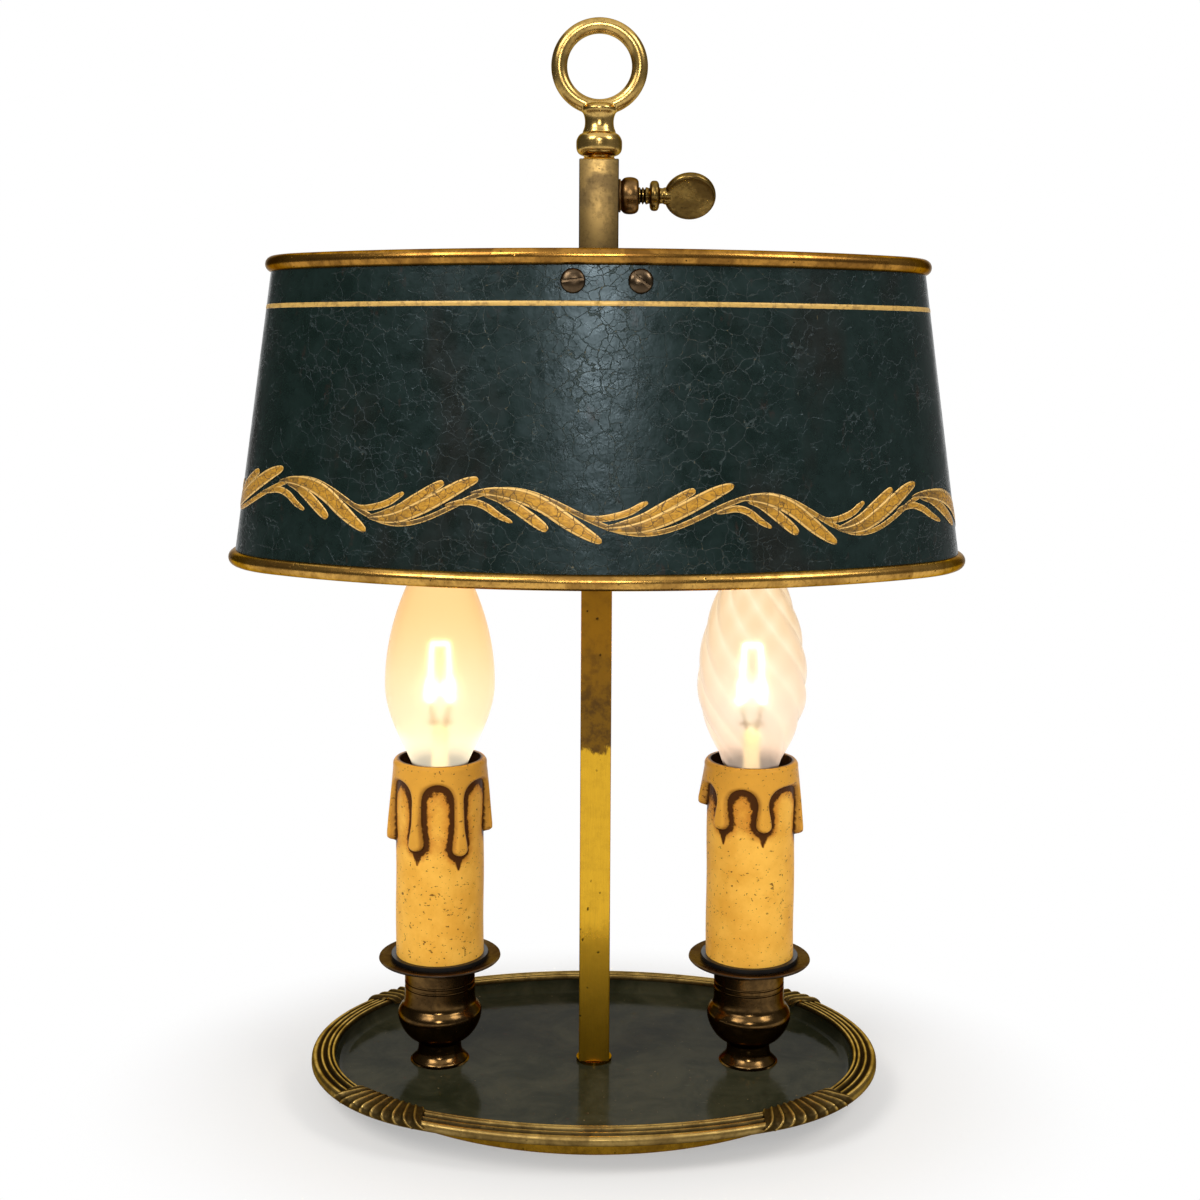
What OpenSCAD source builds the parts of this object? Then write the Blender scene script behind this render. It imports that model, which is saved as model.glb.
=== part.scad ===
// Two-light bouillotte lamp: an oval tray with two turned candle cups, a square stem with a ring
// handle, and an oval metal shade that slides on the stem and is held by a thumbscrew.
// Millimetres, +Z up, +X to the right, the front towards -Y, the origin under the middle of the foot.

/* [Foot] */
// Half width of the foot ring, along X
foot_half_w = 72; // [66:1:76]
// Half depth of the foot ring, along Y
foot_half_d = 50; // [46:1:54]
// Height of the foot ring
foot_h = 6.8; // [6.8:0.1:9]
// Wall of the foot ring
foot_wall = 2.2; // [1.8:0.1:3]
// Depth of the step in the foot ring that takes the base plate
foot_rebate = 1; // [0.6:0.1:1.2]
// Thickness of the steel base plate
plate_t = 0.8; // [0.5:0.1:0.8]
// Thickness of the baize pad
baize_t = 1; // [0.8:0.1:1]
// Height of the baize over the table
baize_lift = 0.2; // [0.1:0.1:0.2]
// Width of the cord's oblong way through the bush
cord_w = 5.8; // [5:0.2:6.4]
// Height of the cord's oblong way through the bush
cord_h = 2.6; // [2.2:0.1:2.6]
// Wall of the bush round the cord
bush_wall = 0.7; // [0.5:0.1:0.7]
// Thickness of each flange of the bush
bush_flange_t = 0.8; // [0.6:0.1:1.2]

/* [Tray] */
// Half width of the tray over its border, along X
tray_half_w = 91; // [87:1:95]
// Half depth of the tray over its border, along Y
tray_half_d = 66; // [62:1:70]
// Thickness of the tray's sheet
tray_t = 1.2; // [1:0.1:1.4]
// Width from the border's outer edge to the flat floor
tray_cove_at = 11; // [10.5:0.1:12]
// Height of the tray's upturned wall over the floor
tray_wall_h = 4; // [3.6:0.1:4.4]
// Half thickness of the border's two outer reeds
border_r = 1.3; // [1.2:0.1:1.4]
// Width of the clasps along the border, as the angle at the tray's end centre
clasp_angle = 34; // [28:1:38]
// Angle of the clasps' middle from the X axis
clasp_at = 55; // [50:1:58]
// Thickness of the clasps over the border
clasp_t = 0.7; // [0.5:0.1:0.9]

/* [Stem] */
// Width of the square stem
stem_w = 9.8; // [9:0.2:11]
// Length of the square stem
stem_len = 289.2; // [280:0.5:300]
// Diameter of the round collar under the stem
collar_d = 11.4; // [11:0.1:13]
// Height of the collar
collar_h = 1; // [0.6:0.1:1.6]
// Diameter of the stem's threaded stud
stud_d = 6; // [5:0.5:7]
// Depth of the stud in the stem
stud_grip = 12; // [8:1:16]
// Height of the stem nut
stem_nut_h = 2.4; // [2:0.1:2.6]
// Thickness of the washer over the stem nut
stem_washer_t = 0.8; // [0.6:0.1:1]

/* [Finial] */
// Radius of the ring handle's middle line
ring_r = 12.7; // [12:0.1:14]
// Diameter of the ring's round bar
ring_bar_d = 5.1; // [4.6:0.1:5.6]
// Height of the ring's centre over the stem's top
ring_rise = 28.8; // [28:0.1:32]
// Diameter of the bead under the ring's neck
bead_d = 14.5; // [13.5:0.1:16]
// Height of the bead
bead_h = 7; // [6:0.1:7.4]
// Diameter of the neck at its narrowest
neck_d = 9.1; // [8:0.1:10]
// Diameter of the finial's seat on the stem
seat_d = 9.4; // [8.5:0.1:9.6]
// Height of the finial's seat
seat_h = 0.9; // [0.6:0.1:1.4]
// Diameter of the finial's screwed pin
pin_d = 5; // [4:0.5:6]
// Length of the finial's screwed pin
pin_len = 9; // [6:1:12]

/* [Slider] */
// Width of the square slider sleeve
sleeve_w = 12.4; // [12.2:0.1:13.4]
// Clearance between the sleeve and the stem, on each side
slide_fit = 0.1; // [0.05:0.01:0.1]
// Length of the slider sleeve
sleeve_len = 57.3; // [50:0.5:64]
// Gap between the sleeve's top and the finial's bead
sleeve_drop = 1.5; // [0.5:0.1:2.5]
// Depth of the thumbscrew's axis under the sleeve's top
screw_drop = 10.9; // [9:0.1:14]
// Outside diameter of the thumbscrew's thread
thread_d = 5.3; // [4.5:0.1:5.6]
// Pitch of the thumbscrew's thread
thread_pitch = 0.8; // [0.7:0.05:1]
// Diameter of the round boss on the sleeve
boss_d = 11.6; // [10.5:0.1:12.4]
// Length of the boss
boss_len = 5.7; // [5:0.1:7]
// Thickness of the washer under the boss
boss_washer_t = 0.7; // [0.5:0.1:1]
// Diameter of the washer under the boss
boss_washer_d = 10.4; // [9.6:0.1:11.4]
// Length of bare thread between the boss and the thumbscrew's collar
thread_show = 3.8; // [3.2:0.1:6]
// Diameter of the thumbscrew's collar
screw_collar_d = 9.5; // [8.5:0.1:10]
// Length of the thumbscrew's collar
screw_collar_len = 3; // [2.4:0.1:4]
// Diameter of the thumbscrew's round flat head
thumb_d = 16.3; // [15:0.1:18]
// Thickness of the thumbscrew's head
thumb_t = 3.3; // [2.6:0.1:4]
// Length of the neck between the collar and the head
thumb_neck = 1.8; // [1.4:0.1:3]
// Turn of the head about the screw's axis
thumb_turn = 36; // [0:1:90]
// Length of the brass pressure pad
pad_len = 1; // [0.8:0.05:1.1]

/* [Shade] */
// Half width of the shade's sheet at the top, along X
shade_half_w = 102.4; // [98:0.2:106]
// Half depth of the shade's sheet at the top, along Y
shade_half_d = 54.4; // [52:0.2:58]
// Height between the middles of the two rims
shade_h = 91.6; // [84:0.4:100]
// How far the shade widens on each side towards the bottom
shade_flare = 12; // [8:0.5:14]
// Thickness of the shade's sheet
shade_t = 0.8; // [0.6:0.1:1]
// Depth of the shade's top rim under the slider's top
shade_drop = 33.4; // [32:0.2:36]
// Diameter of the top rim's round section
top_rim_d = 5; // [4:0.1:5.4]
// Diameter of the bottom rim's round section
bottom_rim_d = 4.7; // [4:0.1:5.4]
// Depth of the four screws under the top rim's middle
shade_screw_drop = 6.9; // [6.4:0.1:8]
// Distance between the two screws of a side
shade_screw_gap = 19.2; // [16:0.2:22]
// How far each pair of screws stands off the shade's middle
shade_screw_shift = 2.4; // [0:0.1:3]
// Diameter of the shade screws
shade_screw_d = 3.5; // [3:0.5:4]
// Diameter of the shade screws' heads
shade_head_d = 7.2; // [6.4:0.1:7.6]
// Height of the shade screws' heads
shade_head_h = 2; // [1.6:0.1:2.4]
// Width of the bracket's two upright tabs
tab_w = 32; // [31:0.5:36]
// Height of the bracket's tabs
tab_h = 14; // [13:0.5:16]
// Thickness of the bracket's strap
strap_t = 1.6; // [1.2:0.1:2]
// Width of the bracket's strap
strap_w = 12; // [10:0.5:14]
// Height of the bracket's square hub on the sleeve
hub_h = 5; // [4:0.5:8]
// Wall of the bracket's hub
hub_wall = 2; // [1.6:0.1:3]

/* [Candle cups] */
// Distance of each candle's axis from the tray's end
candle_inset = 40.9; // [39:0.1:43]
// Height of a cup
cup_h = 33.4; // [32:0.2:35]
// Diameter of a cup's neck
cup_neck_d = 22.6; // [21:0.2:24]
// Diameter of a cup's belly
cup_belly_d = 27; // [25:0.2:28]
// Diameter of a cup's waist
cup_waist_d = 13.9; // [13:0.1:15]
// Diameter of a cup's foot
cup_foot_d = 18; // [17:0.2:20]
// Diameter of the drip pan
pan_d = 39.2; // [37:0.2:41]
// Thickness of the drip pan's lip
pan_t = 1; // [0.8:0.1:1.2]
// Diameter of the pan's sunk middle
pan_well_d = 31.5; // [31:0.1:33]
// Diameter of the threaded tube up each cup
tube_d = 10; // [9:0.5:11]
// Bore of the threaded tube
tube_bore = 7.8; // [7:0.1:8]
// Height of the thin locknuts under the tray
tube_nut_h = 2.2; // [1.8:0.1:2.4]
// Height of the locknuts inside the candles
holder_nut_h = 2.4; // [2:0.1:3]

/* [Candles and bulbs] */
// Outside diameter of a candle sleeve
candle_d = 28.2; // [27.6:0.1:29]
// Inside diameter of a candle sleeve
candle_bore = 24.4; // [24.2:0.1:25]
// Length of a candle sleeve
candle_len = 63.6; // [60:0.2:68]
// Half thickness of a wax drip
drip_r = 2.6; // [2.2:0.1:3]
// How far the end of a wax drip stands out from the sleeve
drip_out = 2.9; // [2:0.1:3.2]
// Thickness of the round base under a candle
base_t = 1.5; // [1:0.1:2]
// Outside diameter of the lampholder's body
holder_d = 23.2; // [22:0.1:23.6]
// Inside diameter of the lampholder's screw shell
shell_bore = 14.1; // [14.02:0.01:14.1]
// Thickness of the screw shell
shell_t = 0.6; // [0.4:0.1:0.7]
// Outside diameter of the bulb's screw cap
cap_d = 13.9; // [13.8:0.01:13.9]
// Diameter of a bulb at its widest
bulb_d = 35.4; // [33:0.2:37]
// Length of a bulb over all
bulb_len = 100; // [96:0.5:104]
// Thickness of a bulb's glass
glass_t = 0.9; // [0.6:0.1:1.2]

/* [Hidden] */
$fn = 96;
// Gap between two pieces that meet, a long cut, and how far a cut runs past its solid
slack = 0.05;
through = 60;
over = 1;

// Ovals of four arcs: [half width, half depth, p, q, h]. The arc centres stand on a p-q-h right
// triangle, so that neighbouring arcs meet exactly on the line through their two centres.
tray_oval = [tray_half_w, tray_half_d, 5, 12, 13];
foot_oval = [foot_half_w, foot_half_d, 3, 4, 5];
shade_oval = [shade_half_w, shade_half_d, 3, 4, 5];
function oval_unit(o) = (o[0] - o[1]) / (o[2] + o[3] - o[4]);
function end_x(o) = o[2] * oval_unit(o);
function end_r(o) = o[0] - end_x(o);
function side_y(o) = o[3] * oval_unit(o);
function side_r(o) = end_r(o) + o[4] * oval_unit(o);
function far_point(o, sx, sy) = [sx * (end_x(o) + o[2] * o[0]), sy * o[3] * o[0]];

// Distance of each candle from the stem
candle_x = tray_half_w - candle_inset;

// Levels
floor_z = foot_h + tray_t;
plate_z = baize_lift + baize_t;
cavity_z = plate_z + plate_t;
cup_top_z = floor_z + cup_h;
pan_z = cup_top_z + pan_t;
candle_z = pan_z - slack * 10 + base_t;
candle_top_z = candle_z + candle_len;
stem_z = floor_z + collar_h;
stem_top_z = stem_z + stem_len;
bead_z = stem_top_z + seat_h + bead_h / 2;
ring_z = stem_top_z + ring_rise;
sleeve_top_z = stem_top_z + seat_h - sleeve_drop;
sleeve_z = sleeve_top_z - sleeve_len;
screw_z = sleeve_top_z - screw_drop;
shade_top_z = sleeve_top_z - shade_drop;
shade_bottom_z = shade_top_z - shade_h;
shade_screw_z = shade_top_z - shade_screw_drop;

// Foot and tray
bush_w = cord_w + 2 * bush_wall;
bush_h = cord_h + 2 * bush_wall;
bush_lip = 0.35;
bush_play = 0.15;
bush_z = (cavity_z + foot_h) / 2;
tray_wall_at = 7.5;
wall_top_z = floor_z + tray_wall_h;

// Reeds of the border, as [distance in from its outer edge, height over the floor]
outer_reed = [border_r, 3.6];
middle_reed = [3.3, 3.9];
inner_reed = [5.4, 4.6];
reed_r = 1;
bead_r = 0.7;
bead_rise = bead_r + slack;
border_low = floor_z + outer_reed[1] - border_r + 2 * slack;

// Outline of a cup up to its neck, as [radius, share of the cup's height]
cup_line = [[cup_foot_d / 2 - 0.2, 0], [cup_foot_d / 2, 0.015], [cup_foot_d / 2 - 0.3, 0.027],
            [cup_foot_d / 2 - 1.3, 0.054], [cup_waist_d / 2 + 0.2, 0.096], [cup_waist_d / 2, 0.126],
            [cup_waist_d / 2, 0.18], [cup_waist_d / 2 + 1.6, 0.222], [cup_belly_d / 2 - 3.6, 0.269],
            [cup_belly_d / 2 - 1.6, 0.326], [cup_belly_d / 2 - 0.4, 0.389], [cup_belly_d / 2, 0.449],
            [cup_belly_d / 2 - 0.2, 0.503], [cup_belly_d / 2 - 0.9, 0.545], [cup_neck_d / 2 + 0.5, 0.575],
            [cup_neck_d / 2 + 0.2, 0.605], [cup_neck_d / 2, 0.659]];

// Nuts, across their corners
stem_nut_d = 11.5;
tube_nut_d = 16;
shade_nut_d = 6.9;
shade_nut_h = 2.4;
stem_washer_d = 13;

// Slider and thumbscrew, as distances from the stem's axis along X
face_x = sleeve_w / 2;
boss_x = face_x + boss_washer_t;
boss_end_x = boss_x + boss_len;
collar_x = boss_end_x + thread_show;
head_x = collar_x + screw_collar_len + thumb_neck;
pad_x = stem_w / 2 + slack;
tip_x = pad_x + pad_len;
thread_depth = 0.3;
shade_lean = atan(shade_flare / shade_h);
function flare_at(z) = shade_flare * (shade_top_z - z) / shade_h;
screw_side_r = side_r(shade_oval) + flare_at(shade_screw_z);
screw_angle = asin(shade_screw_gap / 2 / screw_side_r);
screw_shift_angle = asin(shade_screw_shift / screw_side_r);
tab_top_z = shade_top_z - top_rim_d / 2 - 2 * slack;
strap_z = tab_top_z - tab_h;

// Bulb, as heights over its tip contact
cap_low = 4;
cap_h = 12;
cap_wall = 0.5;
skirt_h = 4.3;
skirt_t = 0.6;
glass_neck_r = 7;
neck_grip = 1;
neck_low = cap_low + cap_h + neck_grip;
glass_low = cap_low + cap_h + skirt_h;
wide_h = 0.533 * bulb_len;
glass_steps = 14;

// Lampholder, as heights over the candle's seat
holder_ring_h = 31.6;
holder_floor_t = 0.6;
holder_boss_d = 19.2;
holder_boss_h = 7;
cavity_h = holder_ring_h - holder_floor_t;
bracket_t = 1;
bracket_play = 0.4;
spring_gap = 3.5;
bulb_h = cavity_h + spring_gap;
cap_gap = 1.5;
shell_len = 13.2;
shell_low_h = bulb_h + cap_low - cap_gap;
shell_top_h = shell_low_h + shell_len;
shell_od = shell_bore + 2 * shell_t;
holder_top_h = shell_top_h + 4 * slack;
bulb_z = candle_z + bulb_h;
function glass_r(h, wall) = max(0, (h < wide_h
  ? glass_neck_r + (bulb_d / 2 - glass_neck_r) * sin(90 * (h - glass_low) / (wide_h - glass_low))
  : bulb_d / 2 * pow(max(0, cos(90 * (h - wide_h) / (bulb_len - wide_h))), 0.7)) - wall);

// Wax drips, as [angle round the sleeve, length down from its top]
drips_left = [[187, 26.4], [245, 26.9], [300, 28.5], [3, 24.1], [62, 24], [121, 19]];
drips_right = [[177, 15.1], [227, 20], [281, 20.1], [352, 23.7], [48, 16], [110, 25]];

// Lead wires
wire_d = 1.8;
wire_bend = 2.6;
wire_z = cavity_z + wire_d / 2 + 4 * slack;
block_w = 15;
block_d = 9;
block_h = 4;
block_y = 26.5;

module end_zone(o) polygon([[end_x(o), 0], far_point(o, 1, -1), far_point(o, 1, 1)]);

module side_zone(o) polygon([[end_x(o), 0], far_point(o, 1, 1), far_point(o, -1, 1), [-end_x(o), 0]]);

// Sweeps a section round an oval: its X counts outwards from the oval, its Y is the height.
module oval_sweep(o, low, high) {
  for (turn = [0, 180])
    rotate([0, 0, turn]) {
      intersection() {
        translate([end_x(o), 0, 0]) rotate_extrude() translate([end_r(o), 0]) children();
        translate([0, 0, low]) linear_extrude(high - low) end_zone(o);
      }
      intersection() {
        translate([0, -side_y(o), 0]) rotate_extrude() translate([side_r(o), 0]) children();
        translate([0, 0, low]) linear_extrude(high - low) side_zone(o);
      }
    }
}

// A flat plate inside an oval, its edge set in by inset.
module oval_plate(o, inset, height) {
  linear_extrude(height)
    for (turn = [0, 180])
      rotate(turn) {
        intersection() {
          translate([end_x(o), 0]) circle(r = end_r(o) - inset);
          end_zone(o);
        }
        intersection() {
          translate([0, -side_y(o)]) circle(r = side_r(o) - inset);
          side_zone(o);
        }
      }
}

module tube(r_out, r_in, low, high) {
  difference() {
    translate([0, 0, low]) cylinder(r = r_out, h = high - low);
    translate([0, 0, low - over]) cylinder(r = r_in, h = high - low + 2 * over);
  }
}

module hex_nut(across, bore_r, height) {
  difference() {
    cylinder(d = across, h = height, $fn = 6);
    translate([0, 0, -over]) cylinder(r = bore_r, h = height + 2 * over);
  }
}

module oblong(w, h, depth) {
  rotate([90, 0, 0])
    linear_extrude(depth, center = true) {
      square([w - h, h], center = true);
      for (side = [-1, 1]) translate([side * (w - h) / 2, 0]) circle(d = h);
    }
}

module base_holes(extra) {
  translate([0, 0, -over]) cylinder(d = stud_d + extra, h = through);
  for (side = [-1, 1])
    translate([side * candle_x, 0, -over]) cylinder(d = tube_d + extra, h = through);
}

// Foot ----------------------------------------------------------------------------------------
module foot_ring() {
  edge = 0.5;
  shoulder = 0.8;
  color("#a8842c")
    difference() {
      oval_sweep(foot_oval, -over, foot_h + over)
        polygon([[-edge, 0], [0, edge], [0, foot_h - shoulder], [-edge, foot_h], [-foot_wall, foot_h],
                 [-foot_wall, cavity_z], [-foot_wall + foot_rebate, cavity_z],
                 [-foot_wall + foot_rebate, 0]]);
      translate([0, foot_half_d, bush_z]) oblong(bush_w, bush_h, 4 * foot_wall);
    }
}

module base_plate() {
  color("#5c5a55")
    translate([0, 0, plate_z]) oval_plate(foot_oval, foot_wall - foot_rebate + slack, plate_t);
}

module baize_pad() {
  color("#1f3d2b")
    translate([0, 0, baize_lift]) oval_plate(foot_oval, foot_wall - foot_rebate + 2 * slack, baize_t);
}

module cord_bush() {
  bush_len = foot_wall + 2 * (bush_flange_t + bush_play);
  color("#181614")
    translate([0, foot_half_d - foot_wall / 2, bush_z])
      difference() {
        union() {
          oblong(bush_w - 2 * slack, bush_h - 2 * slack, bush_len);
          for (side = [-1, 1])
            translate([0, side * (bush_len - bush_flange_t) / 2, 0])
              oblong(bush_w + 2 * bush_lip, bush_h + 2 * bush_lip, bush_flange_t);
        }
        oblong(cord_w, cord_h, bush_len + 2 * over);
      }
}

// Tray ----------------------------------------------------------------------------------------
module tray() {
  // Points of the cove, as [distance in from the wall's inner face, height over the floor]
  inside = [[0, 3], [0.7, 1.4], [1.9, 0.35], [tray_cove_at - tray_wall_at, 0]];
  outside = [[tray_cove_at - tray_wall_at, -tray_t], [2.1, 4 * slack - tray_t], [-0.6, 0.6], [-tray_t, 2]];
  color("#26291f")
    difference() {
      union() {
        translate([0, 0, foot_h]) oval_plate(tray_oval, tray_cove_at, tray_t);
        oval_sweep(tray_oval, 0, through)
          polygon(concat([for (p = outside) [-tray_wall_at - p[0], floor_z + p[1]]],
                         [[-tray_wall_at + tray_t, wall_top_z], [-tray_wall_at, wall_top_z]],
                         [for (p = inside) [-tray_wall_at - p[0], floor_z + p[1]]]));
      }
      base_holes(2 * slack);
    }
}

module border_section() {
  inner_x = 2 * slack - tray_wall_at;
  seat_x = slack + tray_t - tray_wall_at;
  translate([-outer_reed[0], floor_z + outer_reed[1]]) circle(r = border_r);
  translate([-middle_reed[0], floor_z + middle_reed[1]]) circle(r = border_r);
  translate([-inner_reed[0], floor_z + inner_reed[1]]) circle(r = reed_r);
  translate([bead_r - tray_wall_at, wall_top_z + bead_rise]) circle(r = bead_r);
  polygon([[seat_x, border_low], [-outer_reed[0], border_low], [-outer_reed[0], floor_z + outer_reed[1]],
           [-middle_reed[0], floor_z + middle_reed[1]], [-inner_reed[0], floor_z + inner_reed[1]],
           [bead_r - tray_wall_at, wall_top_z + bead_rise], [inner_x, wall_top_z + bead_rise],
           [inner_x, wall_top_z + slack], [seat_x, wall_top_z + slack]]);
}

module tray_border() {
  color("#b08d3a") oval_sweep(tray_oval, 0, through) border_section();
}

// The clasp bridges the border: its inner line runs over the reeds' crowns, one slack clear of them.
module clasp_section() {
  outer_lip = 0.5;
  inner_lip = 1;
  corner = 0.4;
  corner_share = tan(22.5);
  crown_share = 0.2;
  clear_r = border_r + slack;
  outer_z = floor_z + outer_reed[1];
  foot_z = border_low + outer_lip;
  inner_x = -tray_wall_at - slack;
  side = [slack, outer_z + corner_share * clear_r];
  top = [corner_share * clear_r - outer_reed[0], outer_z + clear_r];
  middle = [corner - middle_reed[0], floor_z + middle_reed[1] + clear_r];
  crown = [crown_share * reed_r - inner_reed[0], floor_z + inner_reed[1] + reed_r + slack];
  polygon([[slack, foot_z], side, top, middle, crown, [inner_x, crown[1]], [inner_x, wall_top_z - inner_lip],
           [inner_x - clasp_t, wall_top_z - inner_lip + corner], [inner_x - clasp_t, crown[1]],
           [inner_x + 4 * slack, crown[1] + clasp_t], crown + [0, clasp_t], middle + [0, clasp_t],
           top + [corner_share * clasp_t, clasp_t], [clasp_t, side[1] + corner_share * clasp_t],
           [clasp_t, foot_z]]);
}

module border_clasps() {
  low_a = clasp_at - clasp_angle / 2;
  high_a = clasp_at + clasp_angle / 2;
  color("#c19a3f")
    for (flip = [0, 1], turn = [0, 180])
      rotate([0, 0, turn])
        mirror([0, flip, 0])
          intersection() {
            oval_sweep(tray_oval, 0, through) clasp_section();
            translate([end_x(tray_oval), 0, 0])
              linear_extrude(through)
                polygon([[0, 0], 2 * tray_half_w * [cos(low_a), sin(low_a)],
                         2 * tray_half_w * [cos(high_a), sin(high_a)]]);
          }
}

// Stem ----------------------------------------------------------------------------------------
module stem_collar() {
  color("#c89c2e") tube(collar_d / 2, stud_d / 2 + slack, floor_z, stem_z);
}

module stem() {
  color("#b98f22")
    difference() {
      translate([-stem_w / 2, -stem_w / 2, stem_z]) cube([stem_w, stem_w, stem_len]);
      translate([0, 0, stem_z - over]) cylinder(d = stud_d + 2 * slack, h = stud_grip + 2 * over);
      translate([0, 0, stem_top_z - pin_len - over]) cylinder(d = pin_d + 2 * slack, h = pin_len + 2 * over);
    }
}

module stem_stud() {
  stud_show = 0.6;
  low = foot_h - stem_washer_t - stem_nut_h - stud_show;
  color("#9a9a98")
    translate([0, 0, low]) cylinder(d = stud_d, h = stem_z + stud_grip - low);
}

module stem_washer() {
  color("#8f8f8c") tube(stem_washer_d / 2, stud_d / 2 + slack, foot_h - stem_washer_t, foot_h);
}

module stem_nut() {
  color("#8a8a86")
    translate([0, 0, foot_h - stem_washer_t - stem_nut_h])
      hex_nut(stem_nut_d, stud_d / 2 + slack, stem_nut_h);
}

module finial() {
  bead_top_z = stem_top_z + seat_h + bead_h;
  bead_x = (bead_d - bead_h) / 2;
  waist_rise = 3;
  flare_rise = 4.6;
  flare = 0.9;
  neck_z = bead_top_z + waist_rise;
  flare_z = neck_z + flare_rise;
  // Points of the neck over the bead, as [distance out from its narrowest, height]
  neck_line = [[flare, bead_top_z], [0.3, neck_z - 1.6], [0, neck_z], [0.2, neck_z + 2], [flare, flare_z],
               [-0.6, flare_z + 1.4]];
  color("#b78b2a") {
    difference() {
      translate([0, 0, ring_z])
        rotate([90, 0, 0]) rotate_extrude() translate([ring_r, 0]) circle(d = ring_bar_d);
      translate([0, 0, stem_top_z]) cylinder(d = neck_d, h = over);
    }
    rotate_extrude() {
      translate([bead_x, bead_z]) circle(d = bead_h);
      polygon(concat([[0, stem_top_z - pin_len], [pin_d / 2, stem_top_z - pin_len],
                      [pin_d / 2, stem_top_z], [seat_d / 2, stem_top_z],
                      [seat_d / 2, stem_top_z + seat_h], [bead_x, stem_top_z + seat_h],
                      [bead_x, bead_top_z]],
                     [for (p = neck_line) [neck_d / 2 + p[0], p[1]]],
                     [[0, flare_z + 1.4]]));
    }
  }
}

// Candle cups ---------------------------------------------------------------------------------
module candle_cup() {
  groove_drop = 6.8;
  groove_step = 1.8;
  groove_d = 0.5;
  color("#6b4a26")
    rotate_extrude()
      difference() {
        polygon(concat([[0, floor_z]], [for (p = cup_line) [p[0], floor_z + p[1] * cup_h]],
                       [[cup_neck_d / 2, cup_top_z], [0, cup_top_z]]));
        for (step = [0, 1])
          translate([cup_neck_d / 2, cup_top_z - groove_drop - step * groove_step])
            circle(r = groove_d, $fn = 24);
        translate([-over, 0]) square([over + tube_d / 2 + slack, through]);
      }
}

module drip_pan() {
  lip_r = pan_d / 2 - pan_t / 2;
  lip_rise = 0.1;
  lip_run = 1;
  well_r = pan_well_d / 2;
  well_z = pan_z - 10 * slack;
  color("#6f4c28")
    rotate_extrude()
      difference() {
        union() {
          translate([lip_r, cup_top_z + pan_t / 2 + lip_rise]) circle(d = pan_t);
          polygon([[0, cup_top_z], [lip_r - lip_run, cup_top_z], [lip_r, cup_top_z + lip_rise],
                   [lip_r, pan_z + lip_rise], [lip_r - lip_run, pan_z - slack],
                   [well_r + 8 * slack, pan_z - 4 * slack], [well_r, well_z], [0, well_z]]);
        }
        translate([-over, 0]) square([over + tube_d / 2 + slack, through]);
      }
}

module candle_base() {
  color("#141312")
    tube(pan_well_d / 2 - 4 * slack, tube_d / 2 + slack, candle_z - base_t, candle_z);
}

module threaded_tube() {
  tube_show = 1;
  color("#a58a4a")
    tube(tube_d / 2, tube_bore / 2, foot_h - tube_nut_h, candle_z + bracket_t + holder_nut_h + tube_show);
}

module tube_locknuts() {
  color("#8a7a48")
    for (side = [-1, 1])
      translate([side * candle_x, 0, foot_h - tube_nut_h])
        hex_nut(tube_nut_d, tube_d / 2 + slack, tube_nut_h);
}

module holder_nuts() {
  color("#8a7a48")
    for (side = [-1, 1])
      translate([side * candle_x, 0, candle_z + bracket_t])
        hex_nut(tube_nut_d, tube_d / 2 + slack, holder_nut_h);
}

// Candle fittings -----------------------------------------------------------------------------
module holder_bracket() {
  leg_y = holder_d / 2 - bracket_t - bracket_play / 2;
  leg_w = 7;
  color("#b9b4a6")
    translate([0, 0, candle_z]) {
      tube(holder_d / 2 - bracket_play, tube_d / 2 + slack, 0, bracket_t);
      tube(holder_d / 2 - bracket_play, holder_boss_d / 2 + slack, holder_ring_h - bracket_t, holder_ring_h);
      for (side = [-1, 1])
        translate([-leg_w / 2, side * leg_y - bracket_t / 2, bracket_t / 2])
          cube([leg_w, bracket_t, holder_ring_h - bracket_t]);
    }
}

module lampholder() {
  wire_way_d = 6;
  way_roof_t = 1.4;
  color("#1b1a19")
    translate([0, 0, candle_z])
      difference() {
        union() {
          translate([0, 0, holder_ring_h - holder_boss_h])
            cylinder(d = holder_boss_d, h = holder_boss_h + over);
          translate([0, 0, holder_ring_h]) cylinder(d = holder_d, h = holder_top_h - holder_ring_h);
        }
        translate([0, 0, cavity_h]) cylinder(d = shell_od + 2 * slack, h = through);
        cylinder(d = wire_way_d, h = cavity_h - way_roof_t);
      }
}

module screw_shell() {
  floor_r = 4.2;
  leg_w = 3;
  leg_t = 2;
  leg_x = shell_od / 2 - leg_t - 4 * slack;
  color("#c7a24a")
    translate([0, 0, candle_z]) {
      tube(shell_od / 2, shell_bore / 2, shell_low_h, shell_top_h);
      tube(shell_od / 2, floor_r, shell_low_h - shell_t, shell_low_h);
      for (turn = [0, 180])
        rotate([0, 0, turn])
          translate([leg_x, -leg_w / 2, cavity_h]) cube([leg_t, leg_w, shell_low_h - cavity_h]);
    }
}

module contact_spring() {
  leaf_t = 0.4;
  leaf_w = 3;
  root_x = 4.6;
  bend_x = 2;
  end_x = 1.6;
  top = spring_gap - 2 * slack;
  color("#c9ac5c")
    translate([0, leaf_w / 2, candle_z + cavity_h + slack])
      rotate([90, 0, 0])
        linear_extrude(leaf_w)
          polygon([[-root_x, 0], [leaf_t, 0], [bend_x, spring_gap / 2], [bend_x / 2, top - leaf_t / 2],
                   [end_x, top - leaf_t / 2], [end_x, top], [-end_x, top], [-end_x, top - leaf_t],
                   [leaf_t, top - leaf_t], [bend_x - 1.5 * leaf_t, spring_gap / 2], [0, leaf_t],
                   [-root_x, leaf_t]]);
}

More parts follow.
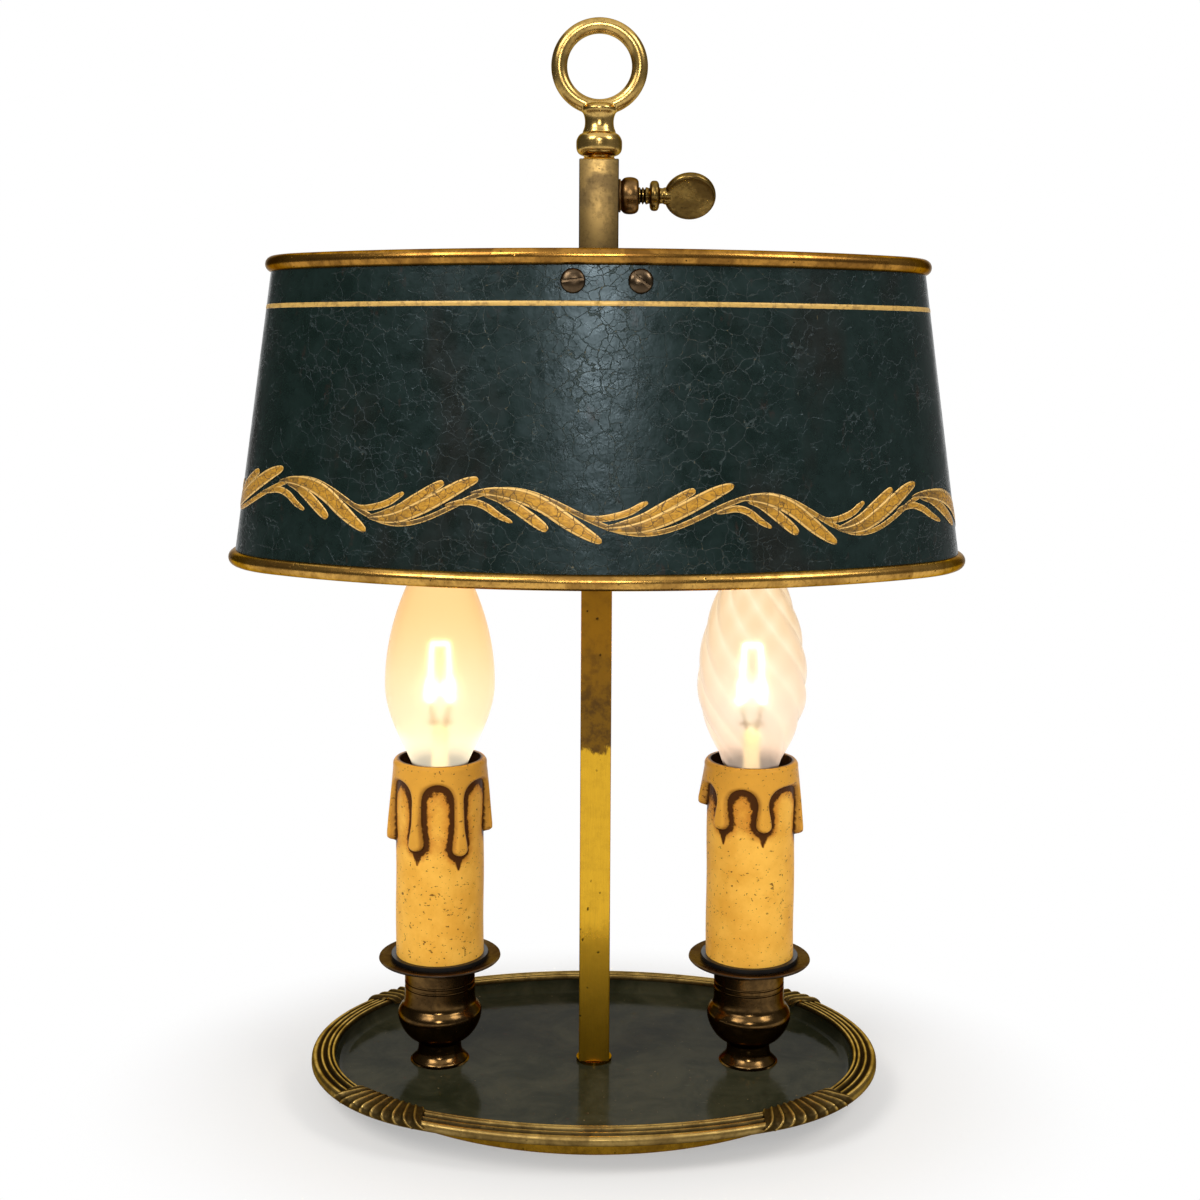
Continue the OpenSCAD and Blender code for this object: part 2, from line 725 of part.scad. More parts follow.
module candle_sleeve(drips) {
  wax_r = candle_d / 2;
  run_r = 0.8 * drip_r;
  run_top = 2;
  melt_out = 1.1;
  // Points of the melted top, as [distance out from the sleeve, depth under its top]
  melt_line = [[0, 6], [0.8, 4.6], [melt_out, 2.8], [melt_out - 0.1, 1], [0.4, 0]];
  color("#e3c98f")
    difference() {
      union() {
        rotate_extrude()
          polygon(concat([[0, candle_z], [wax_r, candle_z]],
                         [for (p = melt_line) [wax_r + p[0], candle_top_z - p[1]]], [[0, candle_top_z]]));
        for (drip = drips) {
          run = drip[1] - drip_r - run_top;
          lean = drip_out - drip_r - melt_out + run_r;
          rotate([0, 0, drip[0]])
            translate([wax_r + drip_out - drip_r, 0, candle_top_z - drip[1] + drip_r]) {
              sphere(r = drip_r);
              rotate([0, -atan2(lean, run), 0]) cylinder(r = run_r, h = norm([lean, run]));
            }
        }
      }
      translate([0, 0, candle_z - over]) cylinder(d = candle_bore, h = candle_len + 3 * over);
    }
}

module bulb_glass() {
  rise = bulb_len - glass_low;
  outer = [for (i = [0 : 2 * glass_steps]) let (h = glass_low + rise * sin(45 * i / glass_steps))
    [glass_r(h, 0), h]];
  inner_rise = rise - glass_t;
  inner = [for (i = [2 * glass_steps : -1 : 0]) let (h = glass_low + inner_rise * sin(45 * i / glass_steps))
    [glass_r(h, glass_t), h]];
  color("#f6e7c6")
    translate([0, 0, bulb_z])
      rotate_extrude()
        polygon(concat([[glass_neck_r, neck_low]], outer, inner, [[glass_neck_r - glass_t, neck_low]]));
}

module bulb_cap() {
  cap_top = cap_low + cap_h;
  color("#cfc7b4")
    translate([0, 0, bulb_z]) {
      tube(cap_d / 2, cap_d / 2 - cap_wall, cap_low, cap_top);
      tube(glass_neck_r + slack + skirt_t, cap_d / 2 - cap_wall, cap_top, cap_top + cap_wall);
      tube(glass_neck_r + slack + skirt_t, glass_neck_r + slack, cap_top + cap_wall, cap_top + skirt_h);
    }
}

module bulb_insulator() {
  plug_h = 1;
  rim_x = cap_d / 2 - cap_wall - 2 * slack;
  // Points of the contact and the cone over it, as [radius, height over the tip]
  tip_line = [[2.2, 0], [2.4, 0.4], [2.4, 1], [3.2, 1], [3.5, 2.8]];
  color("#2a2420")
    translate([0, 0, bulb_z])
      rotate_extrude()
        polygon(concat([[0, 0]], tip_line,
                       [[rim_x + 4 * slack, cap_low - slack], [rim_x, cap_low], [rim_x, cap_low + plug_h],
                        [0, cap_low + plug_h]]));
}

module filament() {
  mount_h = 32;
  mount_low_r = 5;
  mount_top_r = 2.2;
  knob_r = 2.6;
  knob_drop = 1;
  cross_x = 5.4;
  post_h = 43;
  post_x = 3.4;
  root_x = 1.2;
  wire_r = 0.4;
  coil_r = 0.6;
  coil_h = 18;
  peak_x = 0.9;
  post_rise = post_h - mount_h;
  color("#f1d9a0")
    translate([0, 0, bulb_z + cap_low + 1]) {
      cylinder(r1 = mount_low_r, r2 = mount_top_r, h = mount_h);
      translate([0, 0, mount_h - knob_drop]) sphere(r = knob_r);
      translate([-cross_x, 0, mount_h]) rotate([0, 90, 0]) cylinder(r = wire_r, h = 2 * cross_x);
      for (side = [-1, 1]) {
        translate([side * root_x, 0, mount_h])
          rotate([0, side * atan((post_x - root_x) / post_rise), 0])
            cylinder(r = wire_r, h = norm([post_x - root_x, post_rise]));
        translate([side * post_x, 0, post_h])
          rotate([0, side * atan((peak_x - post_x) / coil_h), 0])
            cylinder(r = coil_r, h = norm([peak_x - post_x, coil_h]));
        translate([side * post_x, 0, post_h]) sphere(r = coil_r);
      }
      translate([0, 0, post_h + coil_h])
        rotate([0, 90, 0]) cylinder(r = coil_r, h = 2 * peak_x, center = true);
    }
}

// Two wires run down the tube, turn under the tray and go to the terminal block at the back.
module lead_wires(side) {
  spread = 1.1;
  lane_x = -0.8;
  top_gap = 3;
  block_gap = 5;
  drop_low = wire_z + wire_bend;
  drop_high = candle_z + holder_ring_h - top_gap;
  run = norm([candle_x - block_w / 2, block_y]) - block_gap;
  heading = atan2(block_y, candle_x - block_w / 2);
  color("#b8aa88")
    translate([side * candle_x, 0, 0])
      rotate([0, 0, side > 0 ? 180 - heading : heading])
        for (lane = [-1, 1])
          translate([lane_x, lane * spread, 0]) {
            translate([0, 0, drop_low]) cylinder(d = wire_d, h = drop_high - drop_low);
            translate([wire_bend, 0, drop_low])
              rotate([90, 0, 0])
                intersection() {
                  rotate_extrude() translate([wire_bend, 0]) circle(d = wire_d);
                  translate([-2 * wire_bend, -2 * wire_bend, -wire_d])
                    cube([2 * wire_bend, 2 * wire_bend, 2 * wire_d]);
                }
            translate([wire_bend, 0, wire_z]) rotate([0, 90, 0]) cylinder(d = wire_d, h = run - wire_bend);
          }
}

module terminal_block() {
  screw_way_r = 1.5;
  screw_way_h = 1;
  color("#d8d2c2")
    translate([0, block_y, cavity_z])
      difference() {
        translate([-block_w / 2, -block_d / 2, 0]) cube([block_w, block_d, block_h]);
        for (x = [-block_w / 4, block_w / 4], y = [-block_d / 4, block_d / 4])
          translate([x, y, block_h - screw_way_h]) cylinder(r = screw_way_r, h = screw_way_h + over);
      }
}

module at_candle(side) translate([side * candle_x, 0, 0]) children();

// Slider --------------------------------------------------------------------------------------
module slider_sleeve() {
  inner = stem_w + 2 * slide_fit;
  color("#b48c2c")
    translate([0, 0, sleeve_z])
      difference() {
        translate([-sleeve_w / 2, -sleeve_w / 2, 0]) cube([sleeve_w, sleeve_w, sleeve_len]);
        translate([-inner / 2, -inner / 2, -over]) cube([inner, inner, sleeve_len + 2 * over]);
        translate([0, 0, sleeve_len - screw_drop])
          rotate([0, 90, 0]) cylinder(d = thread_d + 2 * slack, h = sleeve_w);
      }
}

module along_screw() translate([0, 0, screw_z]) rotate([0, 90, 0]) children();

module screw_boss() {
  boss_round = boss_len / 2;
  color("#a57c2a")
    along_screw()
      difference() {
        union() {
          translate([0, 0, face_x]) cylinder(d = boss_washer_d, h = boss_washer_t);
          rotate_extrude() {
            translate([boss_d / 2 - boss_round, boss_x + boss_round]) circle(r = boss_round);
            translate([0, boss_x]) square([boss_d / 2 - boss_round, boss_len]);
          }
        }
        translate([0, 0, face_x - over])
          cylinder(d = thread_d + 2 * slack, h = boss_washer_t + boss_len + 2 * over);
      }
}

module pressure_pad() {
  color("#c2a04a") along_screw() translate([0, 0, pad_x]) cylinder(d = thread_d - thread_depth, h = pad_len);
}

module thumbscrew() {
  crests = floor((collar_x - tip_x) / thread_pitch);
  root_r = thread_d / 2 - thread_depth;
  low = tip_x + slack;
  collar_round = screw_collar_len / 2;
  head_sink = 0.6;
  head_round = 1;
  color("#8f6b2a")
    along_screw() {
      rotate_extrude() {
        polygon(concat([[0, low]],
          [for (i = [0 : crests - 1]) each [
            [root_r, low + i * thread_pitch], [thread_d / 2, low + (i + 0.5) * thread_pitch]]],
          [[root_r, low + crests * thread_pitch], [root_r, collar_x + collar_round],
           [thread_d / 2, head_x + head_sink], [0, head_x + head_sink]]));
        translate([screw_collar_d / 2 - collar_round, collar_x + collar_round]) circle(r = collar_round);
        translate([0, collar_x]) square([screw_collar_d / 2 - collar_round, screw_collar_len]);
      }
      rotate([0, 0, thumb_turn])
        translate([0, 0, head_x + thumb_d / 2 - head_sink])
          rotate([90, 0, 0])
            rotate_extrude() {
              for (side = [-1, 1])
                translate([thumb_d / 2 - head_round, side * (thumb_t / 2 - head_round)]) circle(r = head_round);
              translate([0, -thumb_t / 2]) square([thumb_d / 2 - head_round, thumb_t]);
              translate([0, head_round - thumb_t / 2]) square([thumb_d / 2, thumb_t - 2 * head_round]);
            }
    }
}

// Shade ---------------------------------------------------------------------------------------
module sheet_section(extra) {
  polygon([[-shade_t / 2 - extra, shade_top_z + extra], [shade_t / 2 + extra, shade_top_z + extra],
           [shade_flare + shade_t / 2 + extra, shade_bottom_z - extra],
           [shade_flare - shade_t / 2 - extra, shade_bottom_z - extra]]);
}

// Places its child at each shade screw, its Z axis square to the sheet and pointing outwards.
module at_shade_screws() {
  for (turn = [0, 180], side = [-1, 1])
    rotate([0, 0, turn])
      translate([0, -side_y(shade_oval), 0])
        rotate([0, 0, side * screw_angle + screw_shift_angle])
          translate([0, screw_side_r, shade_screw_z])
            rotate([shade_lean - 90, 0, 0]) children();
}

module shade_screw_holes() {
  at_shade_screws() cylinder(d = shade_screw_d + 2 * slack, h = tab_h, center = true);
}

module shade() {
  color("#16231f")
    difference() {
      oval_sweep(shade_oval, shade_bottom_z - over, shade_top_z + over) sheet_section(0);
      shade_screw_holes();
    }
}

module shade_rim(at_flare, z, rim_d) {
  oval_sweep(shade_oval, z - rim_d, z + rim_d)
    difference() {
      translate([at_flare, z]) circle(d = rim_d);
      sheet_section(slack / 2);
    }
}

module shade_top_rim() {
  color("#b8933c") shade_rim(0, shade_top_z, top_rim_d);
}

module shade_bottom_rim() {
  color("#b8933c") shade_rim(shade_flare, shade_bottom_z, bottom_rim_d);
}

module shade_bracket() {
  hub_w = sleeve_w + 2 * slack;
  tab_in = shade_t / 2 + slack;
  strap_reach = shade_half_d + flare_at(strap_z) - tab_in - strap_t / 2;
  color("#a98735")
    difference() {
      union() {
        intersection() {
          oval_sweep(shade_oval, strap_z - over, tab_top_z + over)
            polygon([[flare_at(tab_top_z) - tab_in, tab_top_z],
                     [flare_at(tab_top_z) - tab_in - strap_t, tab_top_z],
                     [flare_at(strap_z) - tab_in - strap_t, strap_z],
                     [flare_at(strap_z) - tab_in, strap_z]]);
          translate([-tab_w / 2, -through * 2, strap_z]) cube([tab_w, through * 4, tab_h]);
        }
        translate([-strap_w / 2, -strap_reach, strap_z]) cube([strap_w, 2 * strap_reach, strap_t]);
        translate([-hub_w / 2 - hub_wall, -hub_w / 2 - hub_wall, strap_z])
          cube([hub_w + 2 * hub_wall, hub_w + 2 * hub_wall, hub_h]);
      }
      translate([-hub_w / 2, -hub_w / 2, strap_z - over]) cube([hub_w, hub_w, hub_h + 2 * over]);
      shade_screw_holes();
    }
}

module shade_screws() {
  slot_w = 0.9;
  slot_depth = 0.8;
  slot_turn = 6;
  head_edge = 0.5;
  shank_show = 0.6;
  shank_len = shade_t + 2 * slack + strap_t + shade_nut_h + shank_show;
  color("#c09a3a")
    at_shade_screws()
      translate([0, 0, shade_t / 2 + slack])
        difference() {
          union() {
            cylinder(d = shade_head_d, h = shade_head_h - head_edge);
            translate([0, 0, shade_head_h - head_edge])
              cylinder(d1 = shade_head_d, d2 = shade_head_d - 2 * head_edge, h = head_edge);
            translate([0, 0, -shank_len]) cylinder(d = shade_screw_d, h = shank_len + over);
          }
          rotate([0, 0, slot_turn])
            translate([-shade_head_d, -slot_w / 2, shade_head_h - slot_depth])
              cube([2 * shade_head_d, slot_w, slot_depth + over]);
        }
}

module shade_nuts() {
  color("#8a7a48")
    at_shade_screws()
      translate([0, 0, -shade_t / 2 - 2 * slack - strap_t - shade_nut_h])
        hex_nut(shade_nut_d, shade_screw_d / 2 + slack, shade_nut_h);
}

foot_ring();
base_plate();
baize_pad();
cord_bush();
tray();
tray_border();
border_clasps();
stem_collar();
stem();
stem_stud();
stem_washer();
stem_nut();
finial();
at_candle(-1) candle_cup();  // candle_cup_left
at_candle(1) candle_cup();  // candle_cup_right
at_candle(-1) drip_pan();  // drip_pan_left
at_candle(1) drip_pan();  // drip_pan_right
at_candle(-1) candle_base();  // candle_base_left
at_candle(1) candle_base();  // candle_base_right
at_candle(-1) threaded_tube();  // threaded_tube_left
at_candle(1) threaded_tube();  // threaded_tube_right
tube_locknuts();
holder_nuts();
at_candle(-1) holder_bracket();  // holder_bracket_left
at_candle(1) holder_bracket();  // holder_bracket_right
at_candle(-1) lampholder();  // lampholder_left
at_candle(1) lampholder();  // lampholder_right
at_candle(-1) screw_shell();  // screw_shell_left
at_candle(1) screw_shell();  // screw_shell_right
at_candle(-1) contact_spring();  // contact_spring_left
at_candle(1) contact_spring();  // contact_spring_right
at_candle(-1) candle_sleeve(drips_left);  // candle_sleeve_left
at_candle(1) candle_sleeve(drips_right);  // candle_sleeve_right
at_candle(-1) bulb_glass();  // bulb_glass_left
at_candle(1) bulb_glass();  // bulb_glass_right
at_candle(-1) bulb_cap();  // bulb_cap_left
at_candle(1) bulb_cap();  // bulb_cap_right
at_candle(-1) bulb_insulator();  // bulb_insulator_left
at_candle(1) bulb_insulator();  // bulb_insulator_right
at_candle(-1) filament();  // filament_left
at_candle(1) filament();  // filament_right
lead_wires(-1);  // lead_wires_left
lead_wires(1);  // lead_wires_right
terminal_block();
slider_sleeve();
screw_boss();
shade_bracket();
shade();
shade_top_rim();
shade_bottom_rim();
shade_screws();
shade_nuts();
pressure_pad();
thumbscrew();
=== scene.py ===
import math
import bmesh
import bpy
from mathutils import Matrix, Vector


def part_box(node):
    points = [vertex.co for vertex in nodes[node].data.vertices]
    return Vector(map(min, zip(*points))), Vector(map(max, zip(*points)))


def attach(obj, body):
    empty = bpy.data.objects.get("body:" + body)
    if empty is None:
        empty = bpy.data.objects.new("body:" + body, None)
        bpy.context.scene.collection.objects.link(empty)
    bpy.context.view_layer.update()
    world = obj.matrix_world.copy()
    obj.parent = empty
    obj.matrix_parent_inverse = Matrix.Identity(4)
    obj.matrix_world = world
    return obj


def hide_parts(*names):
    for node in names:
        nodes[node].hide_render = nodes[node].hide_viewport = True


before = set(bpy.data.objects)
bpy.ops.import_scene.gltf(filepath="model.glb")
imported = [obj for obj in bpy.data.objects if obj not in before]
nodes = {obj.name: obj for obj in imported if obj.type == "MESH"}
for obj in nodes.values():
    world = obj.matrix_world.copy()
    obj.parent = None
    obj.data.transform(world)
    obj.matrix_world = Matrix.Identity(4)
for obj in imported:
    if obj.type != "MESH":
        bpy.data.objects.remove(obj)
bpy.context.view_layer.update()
mm = 0.001
sides = ("left", "right")
print("frame loaded")

# Lengths are metres for the studio and millimetres, times mm, for the lamp.
studio = {
    "camera": {"place": (0.0, -0.530, 0.2352), "lens": 50.0, "pitch": 3.3, "lean": -0.33,
               "shift": (0.0017, -0.1208)},
    "lamps": {
        "front": {"place": (0.0, -1.25, 0.73), "size": (0.24, 0.36), "power": 4.6},
        "highLeft": {"place": (-0.62, -0.72, 1.0), "size": (0.5, 0.5), "power": 7.0},
        "highRight": {"place": (0.75, -0.45, 0.95), "size": (0.4, 0.4), "power": 4.0},
    },
    # Dark cards that only mirrored rays meet, so that metal and paint have something dark to reflect
    "cards": {
        "frontCard": {"place": (0, -2.0, 0.9), "turn": (90, 0, 0), "size": (3.2, 2.4), "tone": 0.10},
        "leftCard": {"place": (-1.5, 0.1, 0.9), "turn": (90, 0, 90), "size": (4.2, 2.4), "tone": 0.10},
        "rightCard": {"place": (1.5, 0.1, 0.9), "turn": (90, 0, 90), "size": (4.2, 2.4), "tone": 0.20},
    },
    "light": 0.40,
}


def setCamera(look):
    data = bpy.data.cameras.new("camera")
    data.lens = look["lens"]
    data.sensor_width = 36.0
    data.shift_x, data.shift_y = look["shift"]
    data.clip_start = 0.01
    camera = bpy.data.objects.new("camera", data)
    camera.location = look["place"]
    camera.rotation_euler = (math.radians(90 - look["pitch"]), math.radians(look["lean"]), 0)
    bpy.context.scene.collection.objects.link(camera)
    bpy.context.scene.camera = camera


def setLamps(lamps):
    for name, look in lamps.items():
        data = bpy.data.lights.new(name, "AREA")
        data.shape = "RECTANGLE"
        data.size, data.size_y = look["size"]
        data.energy = look["power"]
        lamp = bpy.data.objects.new(name, data)
        lamp.location = look["place"]
        aim = Vector((0, 0, 0.17)) - lamp.location
        lamp.rotation_euler = aim.to_track_quat("-Z", "Y").to_euler()
        bpy.context.scene.collection.objects.link(lamp)


# One output socket of a shader node, which plain arithmetic joins to others through Math nodes.
class Wire:
    def __init__(self, finish, socket):
        self.finish = finish
        self.socket = socket

    def maths(self, operation, *values):
        return self.finish.add("ShaderNodeMath", {"operation": operation}, dict(enumerate(values)))

    def __add__(self, other):
        return self.maths("ADD", self, other)

    def __radd__(self, other):
        return self.maths("ADD", other, self)

    def __sub__(self, other):
        return self.maths("SUBTRACT", self, other)

    def __rsub__(self, other):
        return self.maths("SUBTRACT", other, self)

    def __mul__(self, other):
        return self.maths("MULTIPLY", self, other)

    def __rmul__(self, other):
        return self.maths("MULTIPLY", other, self)

    def __pow__(self, other):
        return self.maths("POWER", self, other)

    def __abs__(self):
        return self.maths("ABSOLUTE", self)

    def most(self, other):
        return self.maths("MAXIMUM", self, other)


class Finish:
    def __init__(self, name, tree=None):
        self.material = None
        if tree is None:
            self.material = bpy.data.materials.new(name)
            self.material.use_nodes = True
            tree = self.material.node_tree
        self.tree = tree
        tree.nodes.clear()

    def add(self, kind, settings=None, inputs=None, output=0):
        node = self.tree.nodes.new(kind)
        for key, value in (settings or {}).items():
            setattr(node, key, value)
        for key, value in (inputs or {}).items():
            if isinstance(value, Wire):
                self.tree.links.new(value.socket, node.inputs[key])
            else:
                node.inputs[key].default_value = value
        return Wire(self, node.outputs[output]) if node.outputs else None

    # The object's own coordinates in millimetres
    def place(self):
        spot = self.add("ShaderNodeTexCoord", output="Object")
        return self.add("ShaderNodeVectorMath", {"operation": "SCALE"}, {0: spot, "Scale": 1000.0})

    def noise(self, at, scale, detail=3.0, rough=0.55, twist=0.0):
        return self.add("ShaderNodeTexNoise", None, {"Vector": at, "Scale": scale, "Detail": detail,
                                                      "Roughness": rough, "Distortion": twist})

    # Noise turned into patches, 0 at low and 1 at high
    def patches(self, at, scale, low, high, detail=3.0, rough=0.55, twist=0.0):
        return self.step(self.noise(at, scale, detail, rough, twist), low, high)

    def cells(self, at, scale, feature="F1"):
        return self.add("ShaderNodeTexVoronoi", {"feature": feature}, {"Vector": at, "Scale": scale})

    def stretch(self, at, x, y, z):
        return self.add("ShaderNodeVectorMath", {"operation": "MULTIPLY"}, {0: at, 1: (x, y, z)})

    def shaken(self, at, scale, amount):
        wobble = self.add("ShaderNodeTexNoise", None, {"Vector": at, "Scale": scale, "Detail": 2.0}, "Color")
        centred = self.add("ShaderNodeVectorMath", {"operation": "SUBTRACT"}, {0: wobble, 1: (0.5, 0.5, 0.5)})
        return self.add("ShaderNodeVectorMath", {"operation": "MULTIPLY_ADD"},
                        {0: centred, 1: (amount, amount, amount), 2: at})

    def part(self, at, axis):
        return self.add("ShaderNodeSeparateXYZ", None, {0: at}, "XYZ".index(axis))

    # 0 at low, 1 at high, smooth between; low may be the larger one
    def step(self, value, low, high):
        return self.add("ShaderNodeMapRange", {"interpolation_type": "SMOOTHSTEP"},
                        {"Value": value, "From Min": low, "From Max": high})

    def mix(self, share, first, second):
        inputs = {"Factor": share}
        for key, value in ((6, first), (7, second)):
            inputs[key] = value if isinstance(value, Wire) else (*value, 1)
        return self.add("ShaderNodeMix", {"data_type": "RGBA"}, inputs, 2)

    def stored(self, name):
        return self.add("ShaderNodeAttribute", {"attribute_name": name}, None, "Fac")

    # Height 1 stands depth millimetres over height 0
    def bump(self, height, depth):
        return self.add("ShaderNodeBump", None, {"Height": height, "Distance": depth * mm, "Strength": 1.0})

    # 1 for the rays that show the background: seen, mirrored or let through
    def shownRay(self):
        seen, mirrored, through = (self.add("ShaderNodeLightPath", None, None, f"Is {kind} Ray")
                                   for kind in ("Camera", "Glossy", "Transmission"))
        return seen.most(mirrored).most(through)

    def give(self, sockets):
        shader = self.add("ShaderNodeBsdfPrincipled", None, sockets)
        self.add("ShaderNodeOutputMaterial", None, {"Surface": shader})
        return self.material


def setWorld(light):
    world = bpy.data.worlds.new("studio")
    bpy.context.scene.world = world
    world.use_nodes = True
    sky = Finish("studio", world.node_tree)
    soft, white = (sky.add("ShaderNodeBackground", None, {"Color": (1, 1, 1, 1), "Strength": strength})
                   for strength in (light, 1.0))
    both = sky.add("ShaderNodeMixShader", None, {0: sky.shownRay(), 1: soft, 2: white})
    sky.add("ShaderNodeOutputWorld", None, {"Surface": both})


def deselect():
    bpy.ops.object.select_all(action="DESELECT")


def newest(name):
    piece = bpy.context.object
    piece.name = name
    piece.data.name = name
    return piece


# A new primitive, the only thing selected
def begun(name, primitive, **settings):
    deselect()
    primitive(**settings)
    return newest(name)


def setCards(cards):
    for name, look in cards.items():
        finish = Finish(name)
        grey = finish.add("ShaderNodeEmission", None, {"Color": (1, 1, 1, 1), "Strength": look["tone"]})
        finish.add("ShaderNodeOutputMaterial", None, {"Surface": grey})
        card = begun(name, bpy.ops.mesh.primitive_plane_add, size=1, location=look["place"],
                     rotation=[math.radians(a) for a in look["turn"]])
        card.scale = (*look["size"], 1)
        bpy.ops.object.transform_apply(location=True, rotation=True, scale=True)
        card.visible_camera = card.visible_diffuse = card.visible_shadow = card.visible_transmission = False
        card.data.materials.append(finish.material)


# The floor keeps the lamp's shadow up to one distance in millimetres and is plain white past another.
floorLook = {
    "size": 6,
    "tones": ((0.89, 0.875, 0.85), (0.87, 0.855, 0.83)),
    "stretch": 1.7,
    "shadowTo": 92.0,
    "whiteFrom": 170.0,
    "nearWhite": 0.40,
}


def setFloor(look):
    floor = begun("floor", bpy.ops.mesh.primitive_plane_add, size=look["size"])
    finish = Finish("floor")
    at = finish.place()
    x, y = finish.part(at, "X"), finish.part(at, "Y")
    away = (x * x + y * y * look["stretch"]) ** 0.5
    tone = finish.mix(finish.noise(at, 0.01, 2.0), *look["tones"])
    lit = finish.add("ShaderNodeBsdfPrincipled", None, {"Base Color": tone, "Roughness": 0.8, "IOR": 1.1})
    white = finish.add("ShaderNodeEmission", None, {"Color": (1, 1, 1, 1), "Strength": 1.0})
    far = finish.step(away, look["shadowTo"], look["whiteFrom"])
    share = (far * (1 - look["nearWhite"]) + look["nearWhite"]) * finish.shownRay()
    both = finish.add("ShaderNodeMixShader", None, {0: share, 1: lit, 2: white})
    finish.add("ShaderNodeOutputMaterial", None, {"Surface": both})
    floor.data.materials.append(finish.material)


setCamera(studio["camera"])
setLamps(studio["lamps"])
setWorld(studio["light"])
setCards(studio["cards"])
setFloor(floorLook)
print("camera, lamps and floor")

# Brass reflects brown rather than white where it is seen at a shallow angle: a painted dark reflection at the
# edges, standing in for dark surroundings
edgeShadeTint = (0.42, 0.35, 0.25, 1)
# Bright tone, dull tone, share of pits, roughness
brassLooks = {
    "border": ((0.74, 0.49, 0.15), (0.26, 0.155, 0.042), 0.6, 0.19),
    "foot": ((0.38, 0.200, 0.014), (0.20, 0.098, 0.009), 0.5, 0.22),
    # The top rim's tones are darker and the bottom rim's lighter, though both are one brass: painted shade on
    # the top rim and painted light on the bottom rim
    "topRim": ((0.46, 0.225, 0.042), (0.15, 0.066, 0.014), 0.7, 0.19),
    "bottomRim": ((0.66, 0.37, 0.085), (0.24, 0.115, 0.024), 0.9, 0.19),
    "finial": ((0.62, 0.40, 0.120), (0.28, 0.175, 0.050), 0.6, 0.21),
    "slider": ((0.17, 0.108, 0.036), (0.075, 0.049, 0.021), 0.3, 0.28),
    "cups": ((0.14, 0.078, 0.026), (0.034, 0.019, 0.008), 0.3, 0.15),
    "pans": ((0.150, 0.105, 0.070), (0.065, 0.045, 0.030), 0.3, 0.26),
    "thumb": ((0.27, 0.170, 0.045), (0.10, 0.060, 0.018), 0.4, 0.22),
    "boss": ((0.30, 0.170, 0.060), (0.09, 0.046, 0.017), 0.3, 0.24),
    "screws": ((0.12, 0.08, 0.045), (0.05, 0.032, 0.018), 0.4, 0.22),
    "plain": ((0.52, 0.38, 0.14), (0.33, 0.23, 0.08), 0.1, 0.35),
}


# Old brass: cloudy tarnish, finer stains, dark pits, and darkness where the piece stores a groove: dirt in
# the hollows, and on the border and clasps painted shade that leaves only the crests bright.
def agedBrass(name):
    bright, dull, pitted, smooth = brassLooks[name]
    metal = Finish("brass_" + name)
    at = metal.place()
    clouds = metal.patches(at, 0.11, 0.36, 0.64, 4.0, 0.6, 0.6)
    stain = metal.patches(at, 0.9, 0.45, 0.70, 4.0, 0.65)
    pits = metal.step(metal.cells(metal.shaken(at, 0.8, 0.9), 0.40), 0.19 * pitted + 0.02, 0.03)
    pits = pits * metal.patches(at, 0.16, 0.46, 0.56, 2.0)
    specks = metal.patches(at, 2.2, 0.70, 0.76, 2.0, 0.5) * pitted
    groove = metal.stored("groove")
    tone = metal.mix(clouds * 0.75, bright, dull)
    tone = metal.mix(stain * 0.35, tone, tuple(c * 0.5 for c in dull))
    tone = metal.mix(pits.most(specks), tone, (0.016, 0.010, 0.005))
    # Groove darkness: dirt in hollows, and painted shade beside the bright crests of the border and clasps
    tone = metal.mix(groove * 0.94, tone, (0.012, 0.008, 0.004))
    rough = clouds * 0.10 + stain * 0.06 + pits * 0.3 + groove * 0.3 + smooth
    grain = metal.noise(at, 1.3, 2.0, 0.5) * 0.12 - pits - specks * 0.4
    return metal.give({"Base Color": tone, "Metallic": 1.0, "Roughness": rough, "Specular Tint": edgeShadeTint,
                       "Normal": metal.bump(grain, 0.07)})


stemLook = {
    "gold": (0.80, 0.46, 0.032),
    "deepGold": (0.60, 0.33, 0.022),
    "orange": (0.42, 0.18, 0.010),
    "brown": (0.20, 0.098, 0.013),
    "darkBrown": (0.10, 0.050, 0.014),
    "line": 110.4,
    "orangeFrom": 140.0,
    "orangeTo": 172.0,
    "shinyDownTo": 58.0,
    "mattDownTo": 40.0,
}


# Bright brass below a ragged line and brown above it, turning orange nearer the shade
def stemBrass():
    metal = Finish("brass_stem")
    at = metal.place()
    height = metal.part(at, "Z")
    ragged = metal.noise(metal.stretch(at, 1.0, 1.0, 0.5), 0.35, 4.0, 0.65)
    brownAbove = metal.step(height + ragged * 9.0, stemLook["line"] + 3.6, stemLook["line"] + 5.4)
    high = metal.step(height + metal.noise(at, 0.08, 3.0) * 40.0, stemLook["orangeFrom"],
                      stemLook["orangeTo"])
    low = metal.step(height, stemLook["shinyDownTo"], stemLook["mattDownTo"])
    blotch = metal.patches(at, 0.3, 0.42, 0.68, 5.0, 0.65)
    streaks = metal.noise(metal.stretch(at, 6.0, 6.0, 0.2), 1.0, 3.0, 0.6)
    pits = metal.step(metal.cells(metal.shaken(at, 0.7, 1.2), 0.24), 0.13, 0.05)
    pits = pits * metal.patches(at, 0.1, 0.45, 0.55, 2.0)
    clean = metal.mix(streaks, stemLook["gold"], stemLook["deepGold"])
    brown = metal.mix(blotch, stemLook["brown"], stemLook["darkBrown"])
    brown = metal.mix(high * 0.6, brown, stemLook["orange"])
    tone = metal.mix(brownAbove, clean, brown)
    tone = metal.mix(blotch * 0.12, tone, stemLook["brown"])
    tone = metal.mix(pits * 0.85, tone, (0.016, 0.009, 0.004))
    rough = brownAbove * 0.14 + blotch * 0.06 + streaks * 0.05 + low * 0.28 + 0.12
    return metal.give({"Base Color": tone, "Metallic": 1.0, "Roughness": rough, "Specular Tint": edgeShadeTint,
                       "Normal": metal.bump(streaks * 0.25 - pits * 0.8, 0.06)})


